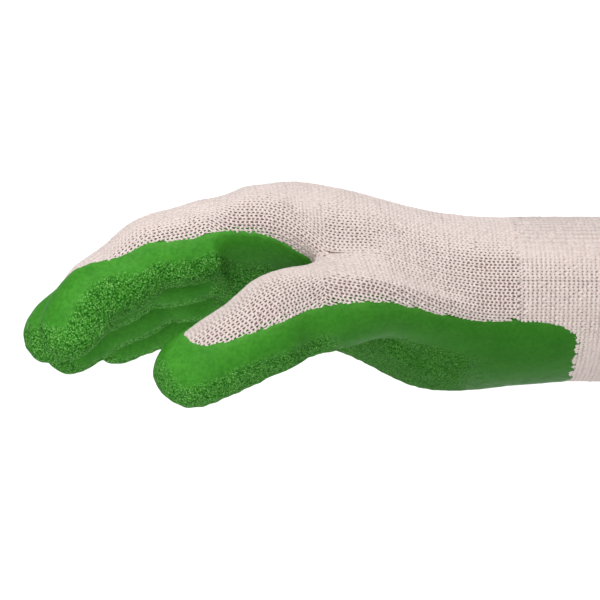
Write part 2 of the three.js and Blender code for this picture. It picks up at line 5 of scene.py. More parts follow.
import bpy
import numpy as np
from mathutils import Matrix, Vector


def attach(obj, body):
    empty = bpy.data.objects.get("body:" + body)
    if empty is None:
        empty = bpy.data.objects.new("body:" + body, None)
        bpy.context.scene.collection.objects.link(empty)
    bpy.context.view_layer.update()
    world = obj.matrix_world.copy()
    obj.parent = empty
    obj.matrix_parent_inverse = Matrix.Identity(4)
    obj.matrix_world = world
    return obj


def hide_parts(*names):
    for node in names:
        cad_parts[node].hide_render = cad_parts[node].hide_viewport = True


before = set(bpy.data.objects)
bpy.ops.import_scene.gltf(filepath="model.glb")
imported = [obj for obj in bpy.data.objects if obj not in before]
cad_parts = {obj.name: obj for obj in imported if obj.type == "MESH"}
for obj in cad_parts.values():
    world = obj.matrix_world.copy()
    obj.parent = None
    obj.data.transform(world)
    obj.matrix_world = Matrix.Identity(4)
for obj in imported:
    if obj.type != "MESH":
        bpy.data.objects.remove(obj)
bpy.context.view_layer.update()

MM = 0.001

# Driving sizes, as in the solids
PALM_ROLL = 18
HEM_WIDTH = 6
CUFF_LENGTH = 84
COAT_HEEL = 65
WEB_DISTANCE = 146
CROTCH_DISTANCE = 181
WRIST_WIDTH = 66
WRIST_DEPTH = 51
PALM_WIDTH = 92
PALM_DEPTH = 38
THUMB_BASE_WIDTH = 32
PIECE_GAP = 0.3
KNIT_WALL = 1.5
HEM_RISE = 0.6
HEM_DEPTH = 0.5

# Columns of the mesh
BACK = 16
SIDE = 4
PALM = 16
THUMB = 12
LANE = 4
FINGER = 16
EDGE = 2
THUMB_EDGE = 4
RING = BACK + SIDE + PALM + THUMB
LOOP = BACK + SIDE + PALM + SIDE

PALM_KEYS = ("at", "half", "top", "low", "shift", "thin", "power")
PALM_ROWS = [
    (0.00, 0.362, 0.66, -0.68, 0.000, 0.00, 2.0),
    (0.34, 0.359, 0.66, -0.69, 0.000, 0.00, 2.0),
    (0.46, 0.370, 0.67, -0.75, 0.000, 0.00, 2.0),
    (0.55, 0.410, 0.70, -0.76, 0.010, 0.00, 2.1),
    (0.63, 0.450, 0.74, -0.66, 0.010, 0.00, 2.2),
    (0.71, 0.478, 0.79, -0.44, 0.010, 0.00, 2.3),
    (0.78, 0.490, 0.83, -0.24, 0.010, 0.03, 2.4),
    (0.86, 0.495, 0.86, -0.17, 0.010, 0.16, 2.5),
    (0.93, 0.500, 0.79, -0.15, 0.010, 0.13, 2.6),
    (1.00, 0.500, 0.64, -0.10, 0.010, 0.05, 2.6),
]

# thumbStart, thumbEnd, littleLow, littleTop, in degrees
WRIST_ANGLES = (190, 268, 355, 380)
WEB_ANGLES = (197, 246, 332, 377)
KNUCKLE_ANGLES = (164, 238, 322, 382)
THUMB_WEB_ANGLES = (98, 208, 370)
THUMB_WEB_CENTRE = (-0.42, -0.316)
WEB_CROWD = 1.45
WEB_DIP = 5
THUMB_LAG = 7
KNUCKLE_TURN = 0.6
GROOVE_FROM = 118
GROOVE_ROUNDS = 4
GROOVE_COLUMNS = (-2, -1, 0, 1)
WEB_REACH = 22
WEB_ROUNDS = 3
WEB_PULL = 0.55
THUMB_ROOT_REACH = 20
FINGER_ROOT_REACH = 13
WEB_SINK_REACH = 24
WEB_SINK = (2, 0, -4.5)

FINGER_KEYS = ("across", "up", "knuckle", "fan", "near", "mid", "far",
               "nearPitch", "midPitch", "farPitch", "width", "depth")
FINGER_ROWS = [
    (-0.359, 0.447, 0.867, -1.5, 42, 23, 21, 18, 37, 57, 21.4, 24.6),
    (-0.112, 0.425, 0.890, 0, 43, 22, 20, 15, 31, 43, 21.2, 24.4),
    (0.138, 0.421, 0.873, 1, 40, 23, 20.5, 12, 29, 39, 20.6, 23.4),
    (0.377, 0.342, 0.840, 3, 34, 19, 19, 7, 17, 26, 19.0, 21.0),
]
# at, wide, deep, lift, open
FINGER_STATIONS = [
    (0.20, 0.965, 0.99, 0.00, 103),
    (0.56, 0.950, 0.97, 0.00, 100),
    (0.90, 0.980, 0.930, 0.020, 97),
    (1.10, 0.970, 0.90, 0.03, 93),
    (1.40, 0.930, 0.885, 0.00, 88),
    (1.68, 0.915, 0.855, 0.00, 86),
    (1.96, 0.905, 0.825, 0.01, 84),
    (2.20, 0.875, 0.790, 0.00, 84),
    (2.44, 0.840, 0.750, 0.00, 86),
    (2.66, 0.760, 0.680, -0.01, 88),
    (2.84, 0.610, 0.550, -0.02, 90),
]
FINGER_NARROW_FROM = 5
FINGER_CAP_RISE = 0.15
JOINT_BEND = 0.35
CROTCH_WIDEN = 1.03
CAP_BULGE = 1.08
AXIS_STEPS = 60

THUMB_LENGTH = 50
THUMB_WIDTH = 27.4
THUMB_BACK = 142
# away, across, up, wide, deep, start, end
THUMB_STATIONS = [
    (0.10, -0.040, -0.055, 1.14, 1.14, 76, 207),
    (0.19, -0.082, -0.120, 1.12, 1.11, 75, 204),
    (0.30, -0.117, -0.200, 1.09, 1.07, 77, 200),
    (0.41, -0.135, -0.284, 1.05, 1.03, 80, 196),
    (0.52, -0.145, -0.356, 1.03, 0.99, 83, 191),
    (0.62, -0.150, -0.418, 1.00, 0.94, 86, 186),
    (0.71, -0.150, -0.472, 0.95, 0.87, 90, 181),
    (0.79, -0.147, -0.518, 0.87, 0.79, 94, 180),
    (0.86, -0.142, -0.556, 0.71, 0.66, 98, 182),
]
THUMB_STRAIGHT = 4.5
THUMB_COAT_STATION = 7
THUMB_CAP_RISE = 0.16

HEM_STATIONS = (0.2, 0.8)
CUFF_STATIONS = (0.27, 0.47, 0.67)
HEEL_STATIONS = (0.55,)
PALM_STATIONS = (0.16, 0.33, 0.50, 0.67, 0.84)
KNUCKLE_STATIONS = (0.24, 0.50, 0.76)


def vec(x, y, z):
    return np.array([x, y, z], dtype=float)


def mix(a, b, t):
    return a + (b - a) * t


def clamp(x, lo=0.0, hi=1.0):
    return np.clip(x, lo, hi)


def ease(t):
    t = clamp(t)
    return t * t * (3 - 2 * t)


def between(x, lo, hi):
    return ease((x - lo) / (hi - lo))


def sind(a):
    return math.sin(math.radians(a))


def cosd(a):
    return math.cos(math.radians(a))


def unit(v):
    return v / np.linalg.norm(v)


def units(v, least=0.0):
    """Every vector of an array at length one."""
    return v / (np.linalg.norm(v, axis=-1, keepdims=True) + least)


def signed_power(value, power):
    return math.copysign(abs(value) ** power, value)


# The cage: the same points and faces as the solids are cut from
cage = []
faces = []      # corners, zone, coated, split corner or None
bands = []      # (name, first face, count)


def palm_read(at, key):
    k = PALM_KEYS.index(key)
    return float(np.interp(at, [r[0] for r in PALM_ROWS], [r[k] for r in PALM_ROWS]))


def palm_point(distance, degrees):
    at = distance / CROTCH_DISTANCE
    wrist = 1 - between(distance, COAT_HEEL, WEB_DISTANCE)
    half, top, low, shift, thin, power = (palm_read(at, key) for key in PALM_KEYS[1:])
    half = mix(PALM_WIDTH * half, WRIST_WIDTH / 2, wrist)
    top = mix(PALM_DEPTH * top, WRIST_DEPTH / 2, wrist)
    low = mix(PALM_DEPTH * low, -WRIST_DEPTH / 2, wrist * wrist)
    power = 2 / power
    c = cosd(degrees)
    s = sind(degrees)
    across = half * signed_power(c, power) + PALM_WIDTH * shift
    up = (top + low) / 2 + (top - low) / 2 * signed_power(s, power)
    if c < 0 and s < 0:
        up += PALM_DEPTH * thin * 2 * c * s
    return vec(-distance, across, up)


def thumb_web_point(degrees):
    across = PALM_WIDTH * THUMB_WEB_CENTRE[0] + THUMB_BASE_WIDTH / 2 * cosd(degrees)
    up = PALM_DEPTH * THUMB_WEB_CENTRE[1] + THUMB_BASE_WIDTH / 2 * sind(degrees)
    return vec(-WEB_DISTANCE, across, up)


def thumb_web_angle(i):
    start, edge, end = THUMB_WEB_ANGLES
    if i <= THUMB_EDGE:
        return mix(start, edge, i / THUMB_EDGE)
    return mix(edge, end, (i - THUMB_EDGE) / (THUMB - THUMB_EDGE))


def add_points(points):
    start = len(cage)
    cage.extend(points)
    return list(range(start, len(cage)))


def add_band(name, first, second, closed, describe):
    count = len(first) if closed else len(first) - 1
    bands.append((name, len(faces), count))
    for i in range(count):
        j = (i + 1) % len(first)
        zone, coated, corner = describe(i)
        faces.append(((first[i], first[j], second[j], second[i]), zone, coated, corner))


def palm_angles(distance):
    share = between(distance, COAT_HEEL, WEB_DISTANCE)
    beyond = clamp((distance - WEB_DISTANCE) / (CROTCH_DISTANCE - WEB_DISTANCE)) ** KNUCKLE_TURN
    return [mix(mix(a, b, share), c, beyond)
            for a, b, c in zip(WRIST_ANGLES, WEB_ANGLES, KNUCKLE_ANGLES)]


def palm_arc(distance, start, end, columns):
    return [palm_point(distance, mix(start, end, i / columns)) for i in range(columns)]


def back_and_palm(distance):
    thumb_start, thumb_end, little_low, little_top = palm_angles(distance)
    return (palm_arc(distance, thumb_start, little_top - 360, BACK)
            + palm_arc(distance, little_top, little_low, SIDE)
            + palm_arc(distance, little_low, thumb_end, PALM))


def full_ring(distance):
    thumb_start, thumb_end = palm_angles(distance)[:2]
    grow = between(distance, COAT_HEEL, WEB_DISTANCE)
    side = []
    for i in range(THUMB):
        share = i / THUMB
        on_palm = palm_point(distance, mix(thumb_end, thumb_start, share))
        on_thumb = thumb_web_point(thumb_web_angle(THUMB - i))
        p = mix(on_palm, on_thumb, grow ** mix(THUMB_LAG, 1, math.sqrt(share)))
        p[0] = -distance
        side.append(p)
    ring = back_and_palm(distance) + side
    depth = between(distance, GROOVE_FROM, WEB_DISTANCE)
    strength = min(2 * grow, 1) * (1 - depth)
    for _ in range(GROOVE_ROUNDS):
        for column in GROOVE_COLUMNS:
            i = column % RING
            middle = mix(ring[i - 1], ring[(i + 1) % RING], 0.5)
            ring[i] = mix(ring[i], middle, strength)
    return ring


BACK_EDGE = BACK + EDGE
THUMB_EDGE_COLUMN = RING - THUMB_EDGE


def ring_zone(zone, coated=False, heel=False):
    def describe(i):
        on = coated and BACK_EDGE <= i < THUMB_EDGE_COLUMN
        corner = None
        if heel and i == BACK_EDGE:
            corner = 0
        elif heel and i == THUMB_EDGE_COLUMN - 1:
            corner = 1
        return zone, on, corner
    return describe


ring_plan = [(0, "hem", False, False)]
ring_plan += [(HEM_WIDTH * s, "hem", False, False) for s in HEM_STATIONS]
ring_plan += [(HEM_WIDTH, "gap", False, False), (HEM_WIDTH + PIECE_GAP, "cuff", False, False)]
ring_plan += [(mix(HEM_WIDTH, COAT_HEEL, s), "cuff", False, False) for s in CUFF_STATIONS]
ring_plan += [(COAT_HEEL, "cuff", True, True)]
ring_plan += [(mix(COAT_HEEL, CUFF_LENGTH, s), "cuff", True, False) for s in HEEL_STATIONS]
ring_plan += [(CUFF_LENGTH - PIECE_GAP / 2, "gap", True, False)]
ring_plan += [(CUFF_LENGTH + PIECE_GAP / 2, "shell", True, False)]
ring_plan += [(mix(CUFF_LENGTH, WEB_DISTANCE, s), "shell", True, False) for s in PALM_STATIONS]

last = None
last_plan = None
for plan in ring_plan:
    ring = add_points(full_ring(plan[0]))
    if last is not None:
        add_band("ring", last, ring, True, ring_zone(*last_plan[1:]))
    last = ring
    last_plan = plan

web_back = add_points(back_and_palm(WEB_DISTANCE))
web_angles = palm_angles(WEB_DISTANCE)
thumb_outer = [thumb_web_point(thumb_web_angle(THUMB - i)) for i in range(THUMB + 1)]
low_place = mix(palm_point(WEB_DISTANCE, web_angles[1]), thumb_outer[0], 0.5)
low_place[0] += WEB_DIP
low_corner = add_points([low_place])[0]
cage[web_back[0]] = mix(cage[web_back[0]], thumb_outer[THUMB], 0.5)
thumb_side_ring = add_points(thumb_outer[1:THUMB])
web_ring = web_back + [low_corner] + thumb_side_ring
add_band("ring", last, web_ring, True, ring_zone("shell", True))

crotch_inner = []
for i in range(1, SIDE):
    share = (1 - i / SIDE) ** WEB_CROWD
    on_palm = palm_point(WEB_DISTANCE, mix(web_angles[0], web_angles[1], share))
    on_thumb = thumb_web_point(mix(THUMB_WEB_ANGLES[0], THUMB_WEB_ANGLES[2] - 360, share))
    place = mix(on_palm, on_thumb, 0.5)
    place[0] += WEB_DIP * share
    crotch_inner.append(place)
web_crotch = add_points(crotch_inner)

PALM_EDGE_LOW = LOOP - EDGE


def loop_zone(i):
    return "shell", BACK_EDGE <= i < PALM_EDGE_LOW, None


def palm_loop(distance):
    a = palm_angles(distance)
    side = [palm_point(distance, mix(a[0], a[1], (1 - i / SIDE) ** WEB_CROWD))
            for i in range(SIDE)]
    return back_and_palm(distance) + side


last_loop = web_back + [low_corner] + web_crotch
for share in KNUCKLE_STATIONS:
    loop = add_points(palm_loop(mix(WEB_DISTANCE, CROTCH_DISTANCE, share)))
    add_band("loop", last_loop, loop, True, loop_zone)
    last_loop = loop


def finger_axis(f):
    start = vec(-f["knuckle"] * CROTCH_DISTANCE, f["across"] * PALM_WIDTH, f["up"] * PALM_DEPTH)
    hidden = CROTCH_DISTANCE * (1 - f["knuckle"])
    bones = (f["near"] - hidden, f["mid"], f["far"])
    bend = bones[0] * JOINT_BEND
    total = sum(bones)

    def forward_at(s):
        first = ease((s - bones[0]) / bend + 0.5)
        second = ease((s - bones[0] - bones[1]) / bend + 0.5)
        pitch = mix(mix(f["nearPitch"], f["midPitch"], first), f["farPitch"], second)
        return vec(-cosd(pitch) * cosd(f["fan"]), sind(f["fan"]), -sind(pitch) * cosd(f["fan"]))

    track = [start + forward_at(-hidden) * hidden]
    for i in range(AXIS_STEPS):
        track.append(track[-1] + forward_at((i + 0.5) / AXIS_STEPS * total) * total / AXIS_STEPS)

    def read(at):
        k = min(int(at), 2)
        s = sum(bones[:k]) + bones[k] * (at - k)
        place = clamp(s / total * AXIS_STEPS, 0, AXIS_STEPS - 1e-6)
        n = int(place)
        centre = mix(track[n], track[n + 1], place - n)
        forward = forward_at(s)
        across = unit(vec(-forward[1], -forward[0], 0))
        back = unit(np.cross(across, forward))
        return centre, forward, across, back
    return read


def axis_ring(axis_frame, wide, deep, angles):
    centre, _, across, back = axis_frame
    return [centre + across * (wide / 2 * cosd(a)) + back * (deep / 2 * sind(a)) for a in angles]


def column_turns(start, end, knit_columns):
    """Angles of a finger's columns: the knit ones from start to end, the coated ones on round."""
    knit_step = (end - start) / knit_columns
    coat_step = (360 - end + start) / (FINGER - knit_columns)
    turns = []
    for i in range(FINGER):
        from_edge = i + EDGE
        if knit_columns < from_edge <= FINGER:
            turns.append(end + (from_edge - knit_columns) * coat_step)
        else:
            turns.append(start + (from_edge % FINGER) * knit_step)
    return turns


def finger_angles(opening):
    return [90 + opening - turn for turn in column_turns(0, 2 * opening, LANE + 2 * EDGE)]


def add_cap(name, ring, forward, rise):
    grid = [[-1] * (LANE + 1) for _ in range(LANE + 1)]
    for i in range(LANE):
        grid[0][i] = ring[i]
        grid[i][LANE] = ring[LANE + i]
        grid[LANE][LANE - i] = ring[2 * LANE + i]
        grid[LANE - i][0] = ring[3 * LANE + i]
    centre = np.mean([cage[i] for i in ring], axis=0)
    half = LANE / 2
    for q in range(1, LANE):
        for p in range(1, LANE):
            level = max(abs(q - half), abs(p - half)) / half
            outer = centre
            if level > 0:
                outer = cage[grid[int(half + (q - half) / level)][int(half + (p - half) / level)]]
            inner = mix(centre, outer, level * CAP_BULGE) + forward * rise * (1 - level * level)
            grid[q][p] = add_points([inner])[0]
    for q in range(LANE):
        add_band(name, grid[q], grid[q + 1], False, lambda i: ("shell", True, None))


fingers = [dict(zip(FINGER_KEYS, row)) for row in FINGER_ROWS]
axes = [finger_axis(f) for f in fingers]
crotch_angles = finger_angles(FINGER_STATIONS[0][4])
crotch_rings = [axis_ring(axes[i](0), f["width"] * CROTCH_WIDEN, f["depth"] * CROTCH_WIDEN,
                          crotch_angles) for i, f in enumerate(fingers)]
COUNT = len(fingers)
crotch_lines = []
for k in range(COUNT + 1):
    left = crotch_rings[max(k - 1, 0)]
    right = crotch_rings[min(k, COUNT - 1)]
    line = []
    for i in range(SIDE + 1):
        from_left = left[LANE + i]
        from_right = right[(FINGER - i) % FINGER]
        if k == 0:
            line.append(from_right.copy())
        elif k == COUNT:
            line.append(from_left.copy())
        else:
            line.append(mix(from_left, from_right, 0.5))
    crotch_lines.append(add_points(line))
back_row = []
palm_row = []
for k in range(COUNT):
    ring = crotch_rings[k]
    low = LANE + SIDE
    back_row.append([crotch_lines[k][0]] + add_points(ring[1:LANE]) + [crotch_lines[k + 1][0]])
    palm_row.append([crotch_lines[k + 1][SIDE]] + add_points(ring[low + 1:low + LANE])
                    + [crotch_lines[k][SIDE]])
crotch_loop = [i for row in back_row for i in row[:LANE]]
crotch_loop += crotch_lines[COUNT][:SIDE]
crotch_loop += [i for row in reversed(palm_row) for i in row[:LANE]]
crotch_loop += list(reversed(crotch_lines[0]))[:SIDE]
add_band("loop", last_loop, crotch_loop, True, loop_zone)

KNIT_LAST = LANE + EDGE
KNIT_FIRST = FINGER - EDGE


def finger_zone(station):
    narrow = station - FINGER_NARROW_FROM

    def describe(i):
        left = (i + EDGE) % FINGER
        right = KNIT_LAST + EDGE - 1 - left
        inset = min(left, right)
        if KNIT_LAST <= i < KNIT_FIRST or inset < narrow:
            return "shell", True, None
        if inset == narrow:
            return "shell", True, 1 if left < right else 0
        return "shell", False, None
    return describe


for k, f in enumerate(fingers):
    ring = (back_row[k][:LANE] + crotch_lines[k + 1][:SIDE] + palm_row[k][:LANE]
            + list(reversed(crotch_lines[k]))[:SIDE])
    for n, (at, wide, deep, lift, opening) in enumerate(FINGER_STATIONS):
        centre, forward, across, back = axes[k](at)
        centre = centre + back * (f["depth"] * lift)
        points = axis_ring((centre, forward, across, back), f["width"] * wide,
                           f["depth"] * deep, finger_angles(opening))
        nxt = add_points(points)
        add_band("finger%d" % k, ring, nxt, True, finger_zone(n))
        ring = nxt
    add_cap("tip%d" % k, ring, forward, f["depth"] * FINGER_CAP_RISE)


def thumb_centre(n):
    away, across, up = (0, 0, 0) if n < 0 else THUMB_STATIONS[min(n, len(THUMB_STATIONS) - 1)][:3]
    return vec(-WEB_DISTANCE - THUMB_LENGTH * away,
               PALM_WIDTH * THUMB_WEB_CENTRE[0] + THUMB_LENGTH * across,
               PALM_DEPTH * THUMB_WEB_CENTRE[1] + THUMB_LENGTH * up)


def thumb_ring(n):
    _, _, _, wide, deep, start, end = THUMB_STATIONS[n]
    centre = thumb_centre(n)
    along = unit(thumb_centre(n + 1) - thumb_centre(n - 1))
    forward = unit(mix(vec(-1, 0, 0), along, ease((n + 0.5) / THUMB_STRAIGHT)))
    back = vec(0, cosd(THUMB_BACK), sind(THUMB_BACK))
    back = unit(back - forward * (back @ forward))
    across = unit(np.cross(forward, back))
    points = []
    for turned in column_turns(start, end, THUMB_EDGE + EDGE):
        offset = vec(0, cosd(turned), sind(turned))
        points.append(centre + across * (THUMB_WIDTH / 2 * wide * (offset @ across))
                      + back * (THUMB_WIDTH / 2 * deep * (offset @ back)))
    return points, forward


def thumb_zone(station):
    is_last = station == THUMB_COAT_STATION - 1

    def describe(i):
        coated = station >= THUMB_COAT_STATION or THUMB_EDGE <= i < KNIT_FIRST
        if is_last and i == KNIT_FIRST:
            return "shell", not coated, 2
        if is_last and i == THUMB_EDGE - 1:
            return "shell", not coated, 3
        return "shell", coated, None
    return describe


ring = [web_back[0]] + list(reversed(thumb_side_ring)) + [low_corner] + web_crotch
for n in range(len(THUMB_STATIONS)):
    points, forward = thumb_ring(n)
    nxt = add_points(points)
    add_band("thumb", nxt, ring, True, thumb_zone(n))
    ring = nxt
add_cap("thumbtip", [ring[0]] + list(reversed(ring[1:])), forward, THUMB_WIDTH * THUMB_CAP_RISE)


def edge_table(quads):
    a = quads.reshape(-1)
    b = np.roll(quads, -1, axis=1).reshape(-1)
    lo = np.minimum(a, b)
    hi = np.maximum(a, b)
    key = lo.astype(np.int64) * (quads.max() + 1) + hi
    _, where, inverse, counts = np.unique(key, return_index=True, return_inverse=True,
                                          return_counts=True)
    ends = np.stack([lo[where], hi[where]], axis=1)
    return ends, inverse.reshape(quads.shape), counts


def neighbour_sum(values, ends):
    total = np.zeros_like(values)
    for side in (0, 1):
        np.add.at(total, ends[:, side], values[ends[:, 1 - side]])
    return total


def relax_near(place, reach):
    """Draws the cage's points near a place towards the middle of their neighbours."""
    ends = edge_table(quads)[0]
    count = np.bincount(ends.reshape(-1), minlength=len(cage))[:, None]
    pulls = np.array([WEB_PULL * (1 - ease(np.linalg.norm(p - place) / reach)) for p in cage])
    for _ in range(WEB_ROUNDS):
        now = np.array(cage)
        now += (neighbour_sum(now, ends) / count - now) * pulls[:, None]
        cage[:] = list(now)


quads = np.array([f[0] for f in faces])
for corner, reach in ((web_back[0], WEB_REACH), (low_corner, WEB_REACH),
                      (web_ring[THUMB_EDGE_COLUMN], THUMB_ROOT_REACH),
                      (crotch_lines[0][0], FINGER_ROOT_REACH)):
    relax_near(cage[corner], reach)
web_corner = cage[web_back[0]].copy()
for n, p in enumerate(cage):
    share = 1 - ease(np.linalg.norm(p - web_corner) / WEB_SINK_REACH)
    cage[n] = p + vec(*WEB_SINK) * share

points = np.array(cage)
roll_c = cosd(PALM_ROLL)
roll_s = sind(PALM_ROLL)
points = np.stack([points[:, 0], points[:, 1] * roll_c + points[:, 2] * roll_s,
                   -points[:, 1] * roll_s + points[:, 2] * roll_c], axis=1)


# Smooth subdivision, with the fields carried beside the places
def subdivide(values, quads, spots, owner):
    """One Catmull-Clark step, which also carries each corner's spot in its cage face."""
    n = len(values)
    ends, edge_of, counts = edge_table(quads)
    face_points = values[quads].mean(axis=1)
    mid = values[ends].mean(axis=1)
    face_sum = np.zeros_like(mid)
    np.add.at(face_sum, edge_of.reshape(-1), np.repeat(face_points, 4, axis=0))
    inner = counts == 2
    edge_points = mid.copy()
    edge_points[inner] = mid[inner] / 2 + face_sum[inner] / 4
    q_sum = np.zeros_like(values)
    np.add.at(q_sum, quads.reshape(-1), np.repeat(face_points, 4, axis=0))
    r_sum = np.zeros_like(values)
    for side in (0, 1):
        np.add.at(r_sum, ends[:, side], mid)
    v = np.bincount(quads.reshape(-1), minlength=n)[:, None]
    r_count = np.bincount(ends.reshape(-1), minlength=n)[:, None]
    new = (q_sum / v + 2 * r_sum / r_count + (v - 3) * values) / v
    rim = ends[~inner]
    if len(rim):
        on = np.unique(rim)
        new[on] = values[on] * 0.75 + neighbour_sum(values, rim)[on] / 8
    m = len(quads)
    all_values = np.concatenate([new, edge_points, face_points])
    edge_ids = n + edge_of
    face_ids = n + len(ends) + np.arange(m)
    spot_mid = (spots + np.roll(spots, -1, axis=1)) / 2
    spot_centre = spots.mean(axis=1)
    out_q = np.empty((m, 4, 4), dtype=np.int64)
    out_s = np.empty((m, 4, 4, 2))
    for k in range(4):
        before = (k - 1) % 4
        out_q[:, k] = np.stack([quads[:, k], edge_ids[:, k], face_ids, edge_ids[:, before]], 1)
        out_s[:, k] = np.stack([spots[:, k], spot_mid[:, k], spot_centre, spot_mid[:, before]], 1)
    return (all_values, out_q.reshape(-1, 4), out_s.reshape(-1, 4, 2), np.repeat(owner, 4))


def limit_places(values, quads):
    """Where the points of a cage come to lie on the smooth surface."""
    ends, _, counts = edge_table(quads)
    e_sum = neighbour_sum(values, ends)
    v = np.bincount(ends.reshape(-1), minlength=len(values))[:, None]
    d_sum = np.zeros_like(values)
    for k in range(4):
        np.add.at(d_sum, quads[:, k], values[quads[:, (k + 2) % 4]])
    out = (v * v * values + 4 * e_sum + d_sum) / (v * (v + 5))
    rim = ends[counts == 1]
    on = np.unique(rim)
    out[on] = (values[on] * 4 + neighbour_sum(values, rim)[on]) / 6
    return out


LEVELS = 3
CELLS = 2 ** LEVELS
FIT_ROUNDS = 4


def coated_share(coated, cut_corner, k):
    """How much of a face is coated beside its corner k, where a slanting cut may take a corner."""
    if cut_corner is None:
        return float(coated)
    if k == cut_corner:
        return float(not coated)
    if k == (cut_corner + 2) % 4:
        return float(coated)
    return 0.5


# How much of each point's surroundings is coated
coat_sum = np.zeros(len(points))
coat_count = np.zeros(len(points))
for corners, _, coated, cut_corner in faces:
    for k, index in enumerate(corners):
        coat_sum[index] += coated_share(coated, cut_corner, k)
        coat_count[index] += 1
coat_field = coat_sum / coat_count

# One round of smoothing takes the steps out of the coat's edge
EDGE_SOFT = 0.5
links = edge_table(quads)[0]
coat_near = neighbour_sum(coat_field, links) / np.bincount(links.reshape(-1))
coat_field = mix(coat_field, coat_near, EDGE_SOFT)

# Where the latex is crinkled
crinkle = np.zeros(len(points))


def set_crinkle(name, weight):
    for band_name, first, count in bands:
        if band_name != name:
            continue
        for i in range(count):
            for k, index in enumerate(faces[first + i][0]):
                crinkle[index] = max(crinkle[index], weight(i, -cage[index][0]))


FIRST_PAD = LANE + SIDE
LAST_PAD = FIRST_PAD + LANE
PAD_WIDENS = 206        # distance from the hem where the index finger's pad widens
PALM_FIRST = BACK + SIDE
HEEL_CRINKLE = (80, 114)  # distances between which the palm's crinkle sets in
HEEL_WIDER = 4          # columns of crinkle past the palm, below the thumb
THUMB_PAD = range(6, 13)
TIP_CRINKLE = 0.6
set_crinkle("finger0",
            lambda i, d: 1.0 if FIRST_PAD <= i < LAST_PAD + (d > PAD_WIDENS) else 0.0)
for k in range(1, COUNT):
    set_crinkle("finger%d" % k, lambda i, d: 1.0 if FIRST_PAD - 1 <= i < LAST_PAD - 2 else 0.0)
for k in range(COUNT):
    set_crinkle("tip%d" % k, lambda i, d: 1.0)
set_crinkle("loop", lambda i, d: 1.0 if PALM_FIRST <= i < PALM_FIRST + PALM else 0.0)
set_crinkle("ring", lambda i, d: between(d, *HEEL_CRINKLE)
            if PALM_FIRST <= i < PALM_FIRST + PALM + HEEL_WIDER else 0.0)
set_crinkle("thumb", lambda i, d: 1.0 if i in THUMB_PAD else 0.0)
set_crinkle("thumbtip", lambda i, d: TIP_CRINKLE)

control = points.copy()
for _ in range(FIT_ROUNDS):
    control += points - limit_places(control, quads)
values = np.column_stack([control, coat_field, crinkle])
spots = np.tile(np.array([[0, 0], [1, 0], [1, 1], [0, 1]], dtype=float), (len(quads), 1, 1))
owner = np.arange(len(quads))
fine_quads = quads
for _ in range(LEVELS):
    values, fine_quads, spots, owner = subdivide(values, fine_quads, spots, owner)
fine = values[:, :3]
fine_coat = np.clip(values[:, 3], 0, 1)
fine_crinkle = np.clip(values[:, 4], 0, 1)

face_normals = np.cross(fine[fine_quads[:, 2]] - fine[fine_quads[:, 0]],
                        fine[fine_quads[:, 3]] - fine[fine_quads[:, 1]])
fine_normals = np.zeros_like(fine)
for k in range(4):
    np.add.at(fine_normals, fine_quads[:, k], face_normals)
fine_normals = units(fine_normals)

# grid[face, t, s] is the fine point at that place of a cage face
grid = np.zeros((len(quads), CELLS + 1, CELLS + 1), dtype=np.int64)
cell = np.rint(spots * CELLS).astype(int)
for k in range(4):
    grid[owner, cell[:, k, 1], cell[:, k, 0]] = fine_quads[:, k]


# Charts: rectangular grids of fine points, by column and row
def band_faces(name):
    return [np.arange(first, first + count) for band, first, count in bands if band == name]


ring_bands = band_faces("ring")


def join_shared(blocks, axis=0):
    """Joins blocks in which the last line of each is the first line of the next."""
    kept = [np.delete(block, -1, axis) for block in blocks[:-1]]
    return np.concatenate(kept + [blocks[-1]], axis)


def chart(rows, way=1):
    """rows: for each band the faces from left to right; returns fine point numbers."""
    return join_shared([join_shared([grid[face][::way, ::way] for face in row], 1)
                        for row in rows])


def seam_chart(rows, left, right):
    """A chart of the faces on the two sides of the bands' first column."""
    return chart([np.concatenate([row[-left:], row[:right]]) for row in rows])


FIRST_SHELL = [i for i, plan in enumerate(ring_plan) if plan[1] == "shell"][0]
LEFT = 4
shell_rings = ring_bands[FIRST_SHELL:]
main_chart = seam_chart(shell_rings + band_faces("loop"), LEFT, BACK + SIDE)
finger_charts = [seam_chart(band_faces("finger%d" % k), EDGE, KNIT_LAST) for k in range(COUNT)]


def thumb_block(row):
    """The thumb's faces turned to run as the rings do."""
    order = np.concatenate([row[THUMB_EDGE - 1::-1], row[:KNIT_FIRST - 1:-1]])
    return chart([order], -1)


thumb_blocks = [thumb_block(row) for row in band_faces("thumb")[:THUMB_COAT_STATION + 1]]
thumb_chart = join_shared([seam_chart(shell_rings, LEFT, EDGE)] + thumb_blocks)
cuff_rows = [row for n, row in enumerate(ring_bands)
             if ring_plan[n][1] == "cuff" or ring_plan[n][0] == CUFF_LENGTH - PIECE_GAP / 2]
cuff_chart = chart(cuff_rows)


# Yarn: every loop of the knit, laid at an even pitch over the cloth
WALE = 2.00             # across, from one column of loops to the next
COURSE = 1.40           # along, from one row of loops to the next
YARN_RADIUS = 0.33
HEAD_SWELL = 0.38       # how much thicker the yarn is at the heads, in shares
BACK_CLOSED = 0.56      # and where the cloth faces up
BACK_FACES_UP = (0.2, 0.8)
CUFF_CLOSED = 0.50      # and in the cuff
LOOP_SIDE = 0.56        # how far a loop leans over its own column
LOOP_HALF = 0.75        # half a loop's height in courses
LOOP_DEPTH = 0.06       # how far the legs stand proud of the heads
UNEVEN_HEIGHT = 0.06    # in courses
UNEVEN_SEAT = 0.04
UNEVEN_SWELL = 0.08
YARN_SEAT = -0.20       # from the cloth's outer face to the yarn's middle
YARN_STEPS = 8
YARN_SIDES = 4
COAT_KEEP = 0.58        # yarn stays where the cloth is coated less than this
COURSE_SMOOTH = 12      # fine points over which the length of a row is evened out
TABLE_STEPS = 4         # steps of the lookup tables for a loop
